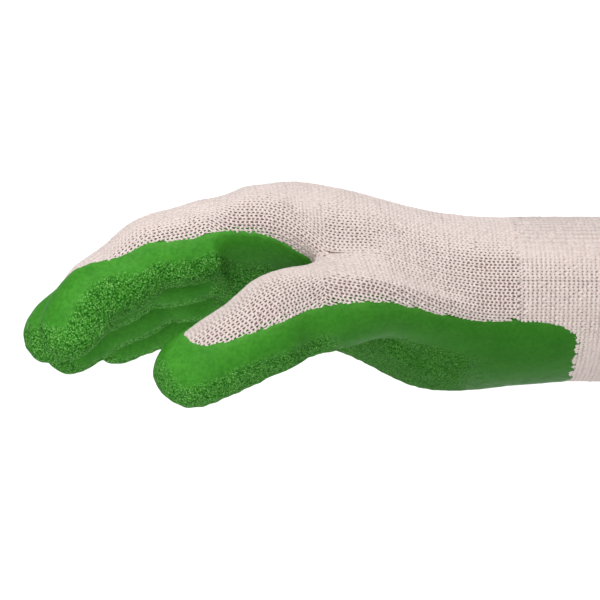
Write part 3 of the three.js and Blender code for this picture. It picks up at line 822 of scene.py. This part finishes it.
COLUMN_MARGIN = 0.01
WEB_MARGIN = 0.1
NO_LENGTH = 1e-9
TINT_MIX = (131, 57, 97)  # whole numbers that spread the tints over rows and columns
CUFF_LOOP_HALF = 0.64   # the cuff's loops are flatter, so that its rows show
WEB_TURN = 22           # rows over which the columns turn into the index finger
WEB_BAND = 4            # rows ahead of the web in which loops are held back to it
OPEN_ROWS = 26          # rows over which the thumb's loops open again past the web
PIECE_QUADS = 95000     # the most quads in one piece of yarn


def running_mean(table, reach, axis):
    pad = [(0, 0), (0, 0)]
    pad[axis] = (reach, reach)
    padded = np.pad(table, pad, mode="edge")
    size = table.shape[axis]
    total = sum(np.take(padded, np.arange(k, k + size), axis=axis) for k in range(2 * reach + 1))
    return total / (2 * reach + 1)


def across_table(ids, middle):
    """Distance of every point of a chart from its middle column, along its own row."""
    steps = np.linalg.norm(np.diff(fine[ids], axis=1), axis=2)
    table = np.cumsum(np.pad(steps, ((0, 0), (1, 0))), axis=1)
    return table - table[:, middle:middle + 1]


def row_steps(ids):
    return np.linalg.norm(np.diff(fine[ids], axis=0), axis=2)


def along_table(steps):
    """Distance of every point of a chart from its first row, evened out across the rows."""
    even = running_mean(steps, COURSE_SMOOTH, 1)
    return np.cumsum(np.pad(even, ((1, 0), (0, 0))), axis=0)


def read_table(table, i, j):
    """A table's value between its rows i and columns j."""
    i = np.clip(i, 0, table.shape[0] - 1.001)
    j = np.clip(j, 0, table.shape[1] - 1.001)
    a = i.astype(int)
    b = j.astype(int)
    f = i - a
    g = j - b
    return ((table[a, b] * (1 - g) + table[a, b + 1] * g) * (1 - f)
            + (table[a + 1, b] * (1 - g) + table[a + 1, b + 1] * g) * f)


def sample(ids, u, v, data):
    """Value of data at column u and row v of a chart, drawn on a little past its rows."""
    rows, columns = ids.shape
    u = np.clip(u, 0, columns - 1.001)
    i = u.astype(int)
    j = np.clip(np.floor(v), 0, rows - 2).astype(int)
    a = u - i
    b = np.clip(v - j, -1.5, 2.5)
    if data.ndim > 1:
        a = a[..., None]
        b = b[..., None]
    upper = data[ids[j, i]] * (1 - a) + data[ids[j, i + 1]] * a
    lower = data[ids[j + 1, i]] * (1 - a) + data[ids[j + 1, i + 1]] * a
    return upper * (1 - b) + lower * b


def inverse_rows(along, wanted):
    """Row numbers at wanted distances for every column, drawn on past both ends."""
    rows, columns = along.shape
    out = np.empty((len(wanted), columns))
    for c in range(columns):
        line = along[:, c]
        out[:, c] = np.interp(wanted, line, np.arange(rows))
        before = wanted < line[0]
        out[before, c] = (wanted[before] - line[0]) / (line[1] - line[0])
        after = wanted > line[-1]
        out[after, c] = rows - 1 + (wanted[after] - line[-1]) / (line[-1] - line[-2])
    return out


def yarn_mesh(ids, across, along, seed, closed=False, web=None, thick=1.0, tall=LOOP_HALF,
              opens=None):
    """Loops of yarn over a chart. web is (row, column, side): past the column on that side,
    only what lies beyond the row counts. Past the row opens, loops that face up open again."""
    rows, columns = ids.shape
    low = math.floor(across.min() / WALE + 1e-6)
    high = math.ceil(across.max() / WALE - 1e-6)
    first = math.floor(along.min() / COURSE) - 1
    last = math.ceil(along.max() / COURSE) + 1
    wales = high - low
    t = np.arange(wales * YARN_STEPS + 1) / YARN_STEPS * 2 * math.pi - math.pi
    wide = (low + (t + LOOP_SIDE * np.sin(2 * t) + math.pi) / (2 * math.pi)) * WALE
    j = np.arange(first, last)[:, None]
    rng = np.random.default_rng(seed)
    wobble = rng.normal(0, 1, (len(j), wales + 1))
    stitch = (t + math.pi) / (2 * math.pi)
    k = np.minimum(stitch.astype(int), wales - 1)
    f = stitch - k
    wob = wobble[:, k] * (1 - f) + wobble[:, k + 1] * f
    long = (j + 0.5 - tall * np.cos(t)[None, :] + UNEVEN_HEIGHT * wob) * COURSE
    wide = np.broadcast_to(wide, long.shape)

    finer = TABLE_STEPS
    wide_steps = np.arange(wales * finer + 1) / finer * WALE + low * WALE
    u_table = np.stack([np.interp(wide_steps, line, np.arange(columns)) for line in across])
    long_steps = np.arange((last - first + 4) * finer + 1) / finer * COURSE + (first - 2) * COURSE
    v_table = inverse_rows(along, long_steps)

    def locate(wide_at, long_at):
        p = (wide_at - wide_steps[0]) / WALE * finer
        q = (long_at - long_steps[0]) / COURSE * finer
        u = np.full(p.shape, columns / 2)
        for _ in range(4):
            v = read_table(v_table, q, u)
            u = read_table(u_table, v, p)
        return u, v

    u, v = locate(wide, long)
    centres = (low + np.arange(wales) + 0.5) * WALE
    mid_long = (j + 0.5) * COURSE + np.zeros((1, wales))
    mid_u, mid_v = locate(np.broadcast_to(centres, mid_long.shape), mid_long)
    own = (mid_v >= 0) & (mid_v <= rows - 1)
    if not closed:
        own &= (mid_u > COLUMN_MARGIN) & (mid_u < columns - 1 - COLUMN_MARGIN)
    free = sample(ids, u, v, fine)
    if web is not None:
        row, column, side = web
        own &= ((mid_u - column) * side <= 0) | (mid_v >= row)
        held = ((u - column) * side > WEB_MARGIN) & (v > row - WEB_BAND)
        v = np.where(held, np.maximum(v, row), v)
    centre = sample(ids, u, v, fine)
    normal = units(sample(ids, u, v, fine_normals))
    coat = sample(ids, u, v, fine_coat)
    lift = -LOOP_DEPTH * np.cos(2 * t)
    centre = centre + normal * (YARN_SEAT + lift[None, :, None] + UNEVEN_SEAT * wob[..., None])
    tangent = units(np.gradient(free, axis=1), NO_LENGTH)
    side_way = units(np.cross(tangent, normal), NO_LENGTH)
    up = np.cross(side_way, tangent)
    turn = (np.arange(YARN_SIDES) + 0.5) / YARN_SIDES * 2 * math.pi
    shut = BACK_CLOSED * between(normal[..., 2], *BACK_FACES_UP)
    if opens is not None:
        shut = shut * (1 - between(v, opens, opens + OPEN_ROWS))
    swell = thick * (1 + HEAD_SWELL * np.cos(2 * t)[None, :] + UNEVEN_SWELL * wob + shut)
    rings = (centre[:, :, None] + YARN_RADIUS * swell[..., None, None]
             * (side_way[:, :, None] * np.cos(turn)[None, None, :, None]
                + up[:, :, None] * np.sin(turn)[None, None, :, None]))
    number = np.arange(rings[..., 0].size).reshape(rings.shape[:3])
    a = number[:, :-1]
    b = number[:, 1:]
    tube = np.stack([a, np.roll(a, -1, axis=2), np.roll(b, -1, axis=2), b], axis=-1)
    keep = (coat[:, :-1] + coat[:, 1:]) / 2 < COAT_KEEP
    keep &= np.repeat(own, YARN_STEPS, axis=1)
    tube = tube[keep].reshape(-1, 4)
    by_row, by_column, tints = TINT_MIX
    stitch_id = ((j - first) * by_row + k[None, :] * by_column) % tints / tints
    tint = np.repeat(stitch_id[..., None], YARN_SIDES, axis=2).reshape(-1)
    return rings.reshape(-1, 3), tube, tint


def compact(points, quads, *fields):
    used, inverse = np.unique(quads, return_inverse=True)
    return (points[used], inverse.reshape(quads.shape)) + tuple(f[used] for f in fields)


def add_object(name, data):
    obj = bpy.data.objects.new(name, data)
    bpy.context.scene.collection.objects.link(obj)
    return obj


def make_mesh(name, points, faces_in, fields=None):
    mesh = bpy.data.meshes.new(name)
    faces_in = np.asarray(faces_in)
    mesh.vertices.add(len(points))
    mesh.vertices.foreach_set("co", (np.asarray(points) * MM).astype(np.float32).reshape(-1))
    mesh.loops.add(faces_in.size)
    mesh.loops.foreach_set("vertex_index", faces_in.astype(np.int32).reshape(-1))
    mesh.polygons.add(len(faces_in))
    mesh.polygons.foreach_set("loop_start", np.arange(len(faces_in), dtype=np.int32) * 4)
    mesh.update(calc_edges=True)
    mesh.polygons.foreach_set("use_smooth", np.full(len(faces_in), True))
    for key, data in (fields or {}).items():
        layer = mesh.attributes.new(key, "FLOAT", "POINT")
        layer.data.foreach_set("value", np.asarray(data, dtype=np.float32))
    mesh.validate()
    obj = add_object(name, mesh)
    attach(obj, "root")
    return obj


def join_meshes(parts):
    joined = []
    start = 0
    for part in parts:
        kept, q, tint = compact(*part)
        joined.append((kept, q + start, tint))
        start += len(kept)
    return [np.concatenate(column) for column in zip(*joined)]


# Materials
def srgb(r, g, b):
    out = []
    for value in (r, g, b):
        value /= 255
        out.append(value / 12.92 if value <= 0.04045 else ((value + 0.055) / 1.055) ** 2.4)
    return (*out, 1.0)


class Shader:
    """A material's node tree with short calls for what the pieces need."""

    def __init__(self, name):
        self.material = bpy.data.materials.new(name)
        self.material.use_nodes = True
        self.tree = self.material.node_tree
        self.surface = self.tree.nodes["Principled BSDF"]

    def put(self, socket, value):
        if isinstance(value, bpy.types.NodeSocket):
            self.tree.links.new(value, socket)
        else:
            socket.default_value = value

    def node(self, kind, inputs, output=0, **settings):
        """Adds a node, sets it, fills its inputs and gives one of its outputs."""
        made = self.tree.nodes.new("ShaderNode" + kind)
        for key, value in settings.items():
            setattr(made, key, value)
        for key, value in inputs.items():
            self.put(made.inputs[key], value)
        return made.outputs[output]

    def math(self, operation, *values):
        return self.node("Math", dict(enumerate(values)), operation=operation)

    def place(self):
        return self.node("TexCoord", {}, "Object")

    def field(self, name):
        return self.node("Attribute", {}, "Fac", attribute_name=name)

    def noise(self, place, scale, detail=2.0, rough=0.5, distortion=0.0, output="Fac"):
        return self.node("TexNoise", {"Vector": place, "Scale": scale, "Detail": detail,
                                      "Roughness": rough, "Distortion": distortion}, output)

    def cells(self, place, scale):
        return self.node("TexVoronoi", {"Vector": place, "Scale": scale}, "Distance")

    def ramp(self, value, stops):
        colour = self.node("ValToRGB", {0: value})
        elements = colour.node.color_ramp.elements
        while len(elements) < len(stops):
            elements.new(0.5)
        for element, (position, shade) in zip(elements, stops):
            element.position = position
            element.color = shade
        return colour

    def blend(self, share, a, b):
        return self.node("Mix", {0: share, 6: a, 7: b}, 2, data_type="RGBA")

    def scale_range(self, value, lo, hi, out_lo=0.0, out_hi=1.0):
        return self.node("MapRange", {"Value": value, "From Min": lo, "From Max": hi,
                                      "To Min": out_lo, "To Max": out_hi})

    def bump(self, height, distance, strength=1.0):
        return self.node("Bump", {"Height": height, "Distance": distance,
                                  "Strength": strength})

    def set(self, key, value):
        self.put(self.surface.inputs[key], value)


FIBRE_SHADE = srgb(168, 146, 146)
YARN_LIGHT = srgb(227, 213, 207)
YARN_DARK = srgb(214, 199, 193)
# The ground's mauve stands for the skin behind the holes between the loops, darkened as painted
# shade in them
HOLE_SHADE_DARK = srgb(156, 126, 126)
HOLE_SHADE_LIGHT = srgb(176, 150, 148)
LATEX_DARK = srgb(50, 124, 30)
LATEX_LIGHT = srgb(64, 142, 40)
LATEX_MOTTLE = srgb(84, 158, 56)
LATEX_GRAIN = srgb(34, 98, 20)
LATEX_SHADE = srgb(36, 96, 26)
LATEX_THIN = srgb(110, 170, 84)
LATEX_HEEL = srgb(28, 82, 12)
HEEL_FADE = (-0.19, -0.09)      # along X, in metres
# The crinkle's colours by height: the latex's green, with painted shade in the grooves and painted
# highlights on the ridges
CRINKLE_SHADE_AND_HIGHLIGHT = [
    (0.18, srgb(24, 82, 14)),
    (0.42, srgb(66, 144, 44)),
    (0.62, srgb(90, 168, 62)),
    (0.84, srgb(160, 224, 134)),
]
CRINKLE_SHIFT = 0.0018          # how far the crinkle's cells wander, in metres


def yarn_material():
    m = Shader("knit_yarn")
    place = m.place()
    tint = m.field("tint")
    patch = m.noise(place, 60, 3)
    fibre = m.noise(place, 2600, 2, 0.6)
    tone = m.math("ADD", m.math("MULTIPLY", tint, 0.30), m.math("MULTIPLY", patch, 0.7))
    colour = m.blend(m.scale_range(tone, 0.25, 0.75), YARN_DARK, YARN_LIGHT)
    colour = m.blend(m.scale_range(fibre, 0.35, 0.75, 0.30, 0.0), colour, FIBRE_SHADE)
    m.set("Base Color", colour)
    m.set("Roughness", 0.88)
    m.set("Sheen Weight", 0.25)
    m.set("Normal", m.bump(fibre, 0.0002, 0.5))
    return m.material


def ground_material():
    m = Shader("knit_ground")
    place = m.place()
    patch = m.noise(place, 300, 3)
    # Painted shade: the ground's colour is the skin's mauve, darkened as the shade in the holes
    # between the loops
    m.set("Base Color", m.blend(patch, HOLE_SHADE_DARK, HOLE_SHADE_LIGHT))
    m.set("Roughness", 0.95)
    m.set("Normal", m.bump(m.noise(place, 1800, 2), 0.0003, 0.6))
    return m.material


def latex_material():
    m = Shader("latex")
    place = m.place()
    fade = m.math("MULTIPLY_ADD", m.noise(place, 500, 3), 0.4, m.field("crinkle"))
    mask = m.scale_range(fade, 0.5, 0.9)
    coat = m.field("coat")
    wander = m.noise(place, 900, output="Color")
    shifted = m.node("VectorMath", {0: wander, 1: (CRINKLE_SHIFT,) * 3, 2: place},
                     operation="MULTIPLY_ADD")
    groove = m.scale_range(m.cells(shifted, 1650), 0.75, 0.15)
    ridge = m.scale_range(m.noise(place, 2300, 3, 0.6, 0.8), 0.3, 0.7)
    worm = m.math("ADD", m.math("MULTIPLY", groove, 0.55), m.math("MULTIPLY", ridge, 0.45))
    wide = m.noise(place, 120, 2)
    soft = m.noise(place, 400, 2)
    height = m.math("ADD", m.math("MULTIPLY", worm, mask), m.math("MULTIPLY", soft, 0.12))
    patch = m.noise(place, 45, 3)
    mottle = m.scale_range(m.noise(place, 110, 5, 0.7), 0.35, 0.65)
    smooth_colour = m.blend(patch, LATEX_DARK, LATEX_LIGHT)
    smooth_colour = m.blend(m.math("MULTIPLY", mottle, 0.36), smooth_colour, LATEX_MOTTLE)
    grain = m.scale_range(m.noise(place, 900, 3), 0.35, 0.60, 0.42, 0.0)
    smooth_colour = m.blend(grain, smooth_colour, LATEX_GRAIN)
    # Painted shade in the crinkle's grooves and painted highlights on its ridges
    colour = m.blend(mask, smooth_colour, m.ramp(worm, CRINKLE_SHADE_AND_HIGHLIGHT))
    thin = m.scale_range(coat, 0.45, 0.70, 1.0, 0.0)
    colour = m.blend(m.math("MULTIPLY", thin, 0.20), colour, LATEX_THIN)
    colour = m.blend(m.scale_range(wide, 0.3, 0.6, 0.25, 0.0), colour, LATEX_SHADE)
    heel = m.scale_range(m.node("SeparateXYZ", {0: place}), *HEEL_FADE)
    colour = m.blend(m.math("MULTIPLY", heel, 0.62), colour, LATEX_HEEL)
    m.set("Base Color", colour)
    gloss = m.scale_range(soft, 0.3, 0.7, 0.44, 0.58)
    m.set("Roughness", m.math("MAXIMUM", gloss, m.math("MULTIPLY", mask, 0.85)))
    m.set("Specular IOR Level", 0.07)
    m.set("Normal", m.bump(height, 0.0005, 1.0))
    return m.material


yarn = yarn_material()
ground = ground_material()
latex = latex_material()

# The coat: how far it lies from the cloth, and how its edge wanders
NOISE_WAVES = 24
WANDERS = ((0.012, 5.0, 3), (0.014, 2.2, 4))    # strength, size and seed
COAT_SUNK = -0.75
COAT_LIFT = 1.15        # over the coat's edge
LIFT_SHARES = (0.38, 0.56)
COAT_SWELL = 0.55       # and on from there
SWELL_SHARES = (0.50, 0.95)
FOLD_HEIGHT = 0.12
FOLD_SIZE = 4.2
FOLD_SEED = 5
FOLD_SHARES = (0.6, 0.95)
COAT_FROM = 0.36        # least share of coating at which there is a skin


def noise_field(points, scale, seed):
    """Smooth seeded noise from a sum of waves in many directions."""
    rng = np.random.default_rng(seed)
    total = np.zeros(len(points))
    for _ in range(NOISE_WAVES):
        way = unit(rng.normal(size=3)) * (2 * math.pi / scale) * rng.uniform(0.7, 1.4)
        total += np.sin(points @ way + rng.uniform(0, 2 * math.pi))
    return total / math.sqrt(NOISE_WAVES / 2)


shift = fine_coat + sum(strength * noise_field(fine, size, seed)
                        for strength, size, seed in WANDERS)
coat_rise = (COAT_SUNK + COAT_LIFT * between(shift, *LIFT_SHARES)
             + COAT_SWELL * between(shift, *SWELL_SHARES))
folds = FOLD_HEIGHT * noise_field(fine, FOLD_SIZE, FOLD_SEED) * fine_crinkle
coat_rise = coat_rise + folds * between(fine_coat, *FOLD_SHARES)
picked = fine_coat[fine_quads].max(axis=1) > COAT_FROM
coat_points = fine + fine_normals * coat_rise[:, None]
skin, skin_quads, skin_coat, skin_crinkle = compact(
    coat_points, fine_quads[picked], fine_coat, fine_crinkle)
latex_skin = make_mesh("latex_skin", skin, skin_quads,
                       {"coat": skin_coat, "crinkle": skin_crinkle})
latex_skin.data.materials.append(latex)
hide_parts("latex_coating")

# The ground under the yarn: closed walls of the cloth's thickness
GROUND_OUT = -0.75
GROUND_STEP = 4         # fine points to a side of the ground's faces


def zone_quads(zone, step):
    """Quads over a zone from every step-th fine point."""
    ids = grid[np.array([f[1] == zone for f in faces])][:, ::step, ::step]
    return np.stack([ids[:, :-1, :-1], ids[:, :-1, 1:], ids[:, 1:, 1:], ids[:, 1:, :-1]],
                    axis=-1).reshape(-1, 4)


def wall(name, quads_in, outer, inner, material):
    """A closed wall between two offsets from the fine surface."""
    offsets = [np.broadcast_to(offset, len(fine)) for offset in (outer, inner)]
    pts, q, ways, *offsets = compact(fine, quads_in, fine_normals, *offsets)
    count = len(pts)
    a = q.reshape(-1)
    b = np.roll(q, -1, axis=1).reshape(-1)
    rim = ~np.isin(a * count + b, b * count + a)
    a = a[rim]
    b = b[rim]
    everything = np.concatenate([q, q[:, ::-1] + count,
                                 np.stack([a, a + count, b + count, b], axis=1)])
    sheets = [pts + ways * offset[:, None] for offset in offsets]
    obj = make_mesh(name, np.concatenate(sheets), everything)
    obj.data.materials.append(material)
    print(name, "triangles", len(everything) * 2)
    return obj


knit_ground = wall("knit_ground", zone_quads("shell", GROUND_STEP), GROUND_OUT, -KNIT_WALL, ground)
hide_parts("knit_shell")
cuff_ground = wall("cuff_ground", zone_quads("cuff", GROUND_STEP), GROUND_OUT, -KNIT_WALL, ground)
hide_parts("knit_cuff")

web_row = len(shell_rings) * CELLS
middle = LEFT * CELLS
main_across = across_table(main_chart, middle)
index_back = (LEFT + LANE // 2) * CELLS
drift = np.diff(main_across[:, index_back], prepend=main_across[0, index_back])
turning = between(np.arange(len(drift)), web_row - WEB_TURN, web_row + WEB_TURN)
main_turn = np.cumsum(drift * turning)
main_across -= main_turn[:, None]
main_steps = row_steps(main_chart)
main_steps[web_row - 1, :middle] = main_steps[web_row - 1, middle]
main_along = along_table(main_steps) + PIECE_GAP / 2
palm_yarn = yarn_mesh(main_chart, main_across, main_along, 11, web=(web_row, middle, -1))

thumb_turn = main_turn[np.minimum(np.arange(len(thumb_chart)), web_row)]
thumb_across = across_table(thumb_chart, middle) - thumb_turn[:, None]
thumb_steps = row_steps(thumb_chart)
thumb_steps[web_row - 1, middle:] = thumb_steps[web_row - 1, middle]
thumb_own = along_table(thumb_steps)
shared = main_along[:web_row, :thumb_chart.shape[1]]
thumb_along = np.concatenate([shared, shared[-1] + thumb_own[web_row:] - thumb_own[web_row - 1]])
thumb_yarn = yarn_mesh(thumb_chart, thumb_across, thumb_along, 31, web=(web_row, middle, 1),
                       opens=web_row)

finger_yarn = []
for k in range(COUNT):
    ids = finger_charts[k]
    half = ids.shape[1] // 2
    start = (LEFT + LANE * k) * CELLS
    side_low = start - EDGE * CELLS if k == 0 else start
    side_high = start + (LANE + EDGE * (k == COUNT - 1)) * CELLS
    joint_columns = np.arange(start - EDGE * CELLS, start + (LANE + EDGE) * CELLS + 1)
    joint = main_along[-1, np.clip(joint_columns, side_low, side_high)]
    across = across_table(ids, half) + main_across[-1, start + LANE * CELLS // 2]
    along = along_table(row_steps(ids)) + joint
    finger_yarn.append(yarn_mesh(ids, across, along, 20 + k))

cuff_across = across_table(cuff_chart, 0)
cuff_round = cuff_across[:, -1:]
cuff_wales = round(float(cuff_round[-1, 0]) / WALE)
cuff_across = cuff_across * (cuff_wales * WALE / cuff_round)
cuff_along = along_table(row_steps(cuff_chart))
cuff_yarn = yarn_mesh(cuff_chart, cuff_across, cuff_along - cuff_along[-1:] - PIECE_GAP / 2,
                      41, closed=True, thick=1 + CUFF_CLOSED, tall=CUFF_LOOP_HALF)


def yarn_piece(name, parts):
    places, tubes, tint = join_meshes(parts)
    obj = make_mesh(name, places, tubes, {"tint": tint})
    obj.data.materials.append(yarn)
    print(name, "triangles", len(tubes) * 2)
    return obj


def split_rows(part):
    """Parts of a mesh that each stay under the most quads in a piece."""
    places, tubes, tint = part
    pieces = max(int(math.ceil(len(tubes) / PIECE_QUADS)), 1)
    return [(places, chunk, tint) for chunk in np.array_split(tubes, pieces)]


for n, part in enumerate(split_rows(palm_yarn)):
    yarn_piece("palm_yarn_%d" % (n + 1), [part])
yarn_piece("finger_yarn", finger_yarn)
yarn_piece("thumb_yarn", [thumb_yarn])
for n, part in enumerate(split_rows(cuff_yarn)):
    yarn_piece("cuff_yarn_%d" % (n + 1), [part])

# The hem
hem_quads = zone_quads("hem", 1)
hem_share = np.clip(-fine[:, 0] / HEM_WIDTH, 0, 1)
hem_bulge = np.sin(hem_share * math.pi)
hem_angle = np.arctan2(fine[:, 2], fine[:, 1])
HEM_STITCHES = 84
HEM_STITCH_RISE = 0.16
HEM_STITCH_SLANT = 3.0
hem_cord = HEM_STITCH_RISE * np.sin(hem_angle * HEM_STITCHES + hem_share * HEM_STITCH_SLANT)
hem_piece = wall("hem_edge", hem_quads, (HEM_RISE + hem_cord) * hem_bulge,
                 -KNIT_WALL - HEM_DEPTH * hem_bulge, yarn)
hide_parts("cuff_hem")

# Stage, light and camera, in metres
FLOOR = -0.32
FLOOR_REACH = 9.0       # to the front and to each side
BEND_FROM = 0.9
BEND_RADIUS = 0.6
BEND_STEPS = 12
WALL_TOP = 3.0


def sweep():
    """A pale floor that bends up into a wall."""
    profile = [(-FLOOR_REACH, FLOOR), (BEND_FROM, FLOOR)]
    for i in range(1, BEND_STEPS + 1):
        a = math.pi / 2 * i / BEND_STEPS
        profile.append((BEND_FROM + BEND_RADIUS * math.sin(a),
                        FLOOR + BEND_RADIUS * (1 - math.cos(a))))
    profile.append((BEND_FROM + BEND_RADIUS, WALL_TOP))
    verts = [(side, y, z) for y, z in profile for side in (-FLOOR_REACH, FLOOR_REACH)]
    quads_in = [(2 * i, 2 * i + 1, 2 * i + 3, 2 * i + 2) for i in range(len(profile) - 1)]
    mesh = bpy.data.meshes.new("sweep")
    mesh.from_pydata(verts, [], quads_in)
    for polygon in mesh.polygons:
        polygon.use_smooth = True
    obj = add_object("sweep", mesh)
    m = Shader("paper")
    m.set("Base Color", (0.86, 0.86, 0.86, 1))
    m.set("Roughness", 0.9)
    mesh.materials.append(m.material)


sweep()


def area_light(name, place, target, size, power):
    data = bpy.data.lights.new(name, "AREA")
    data.shape = "DISK"
    data.size = size
    data.energy = power
    obj = add_object(name, data)
    obj.location = place
    obj.rotation_euler = (Vector(target) - Vector(place)).to_track_quat("-Z", "Y").to_euler()


CENTRE = (-0.13, 0.0, 0.0)
# name, place, target, size, power in watts
LIGHTS = [
    ("key", (-0.28, -0.74, 0.62), CENTRE, 0.6, 5.9),
    ("fill", (-0.30, -1.0, 0.05), CENTRE, 0.9, 3.6),
    ("top", (-0.1, 0.15, 1.1), CENTRE, 0.8, 1.2),
    ("back_wall", (-0.15, 0.5, 0.9), (-0.15, 1.5, 0.2), 1.2, 14),
]
for light in LIGHTS:
    area_light(*light)

WORLD_POWER = 0.46
world = bpy.data.worlds.new("studio")
bpy.context.scene.world = world
world.use_nodes = True
sky = world.node_tree.nodes["Background"]
sky.inputs[0].default_value = (1, 1, 1, 1)
sky.inputs[1].default_value = WORLD_POWER

# Level with the glove, as in the photo, whose 600 px cover 194.4 mm at the glove
CAMERA_PLACE = (-0.1518, -0.650, 0.0)
SENSOR = 36
LENS = 120.37
camera_data = bpy.data.cameras.new("camera")
camera_data.sensor_width = SENSOR
camera_data.lens = LENS
camera = add_object("camera", camera_data)
camera.location = CAMERA_PLACE
camera.rotation_euler = (math.pi / 2, 0, 0)
bpy.context.scene.camera = camera
bpy.context.scene.view_settings.view_transform = "Standard"
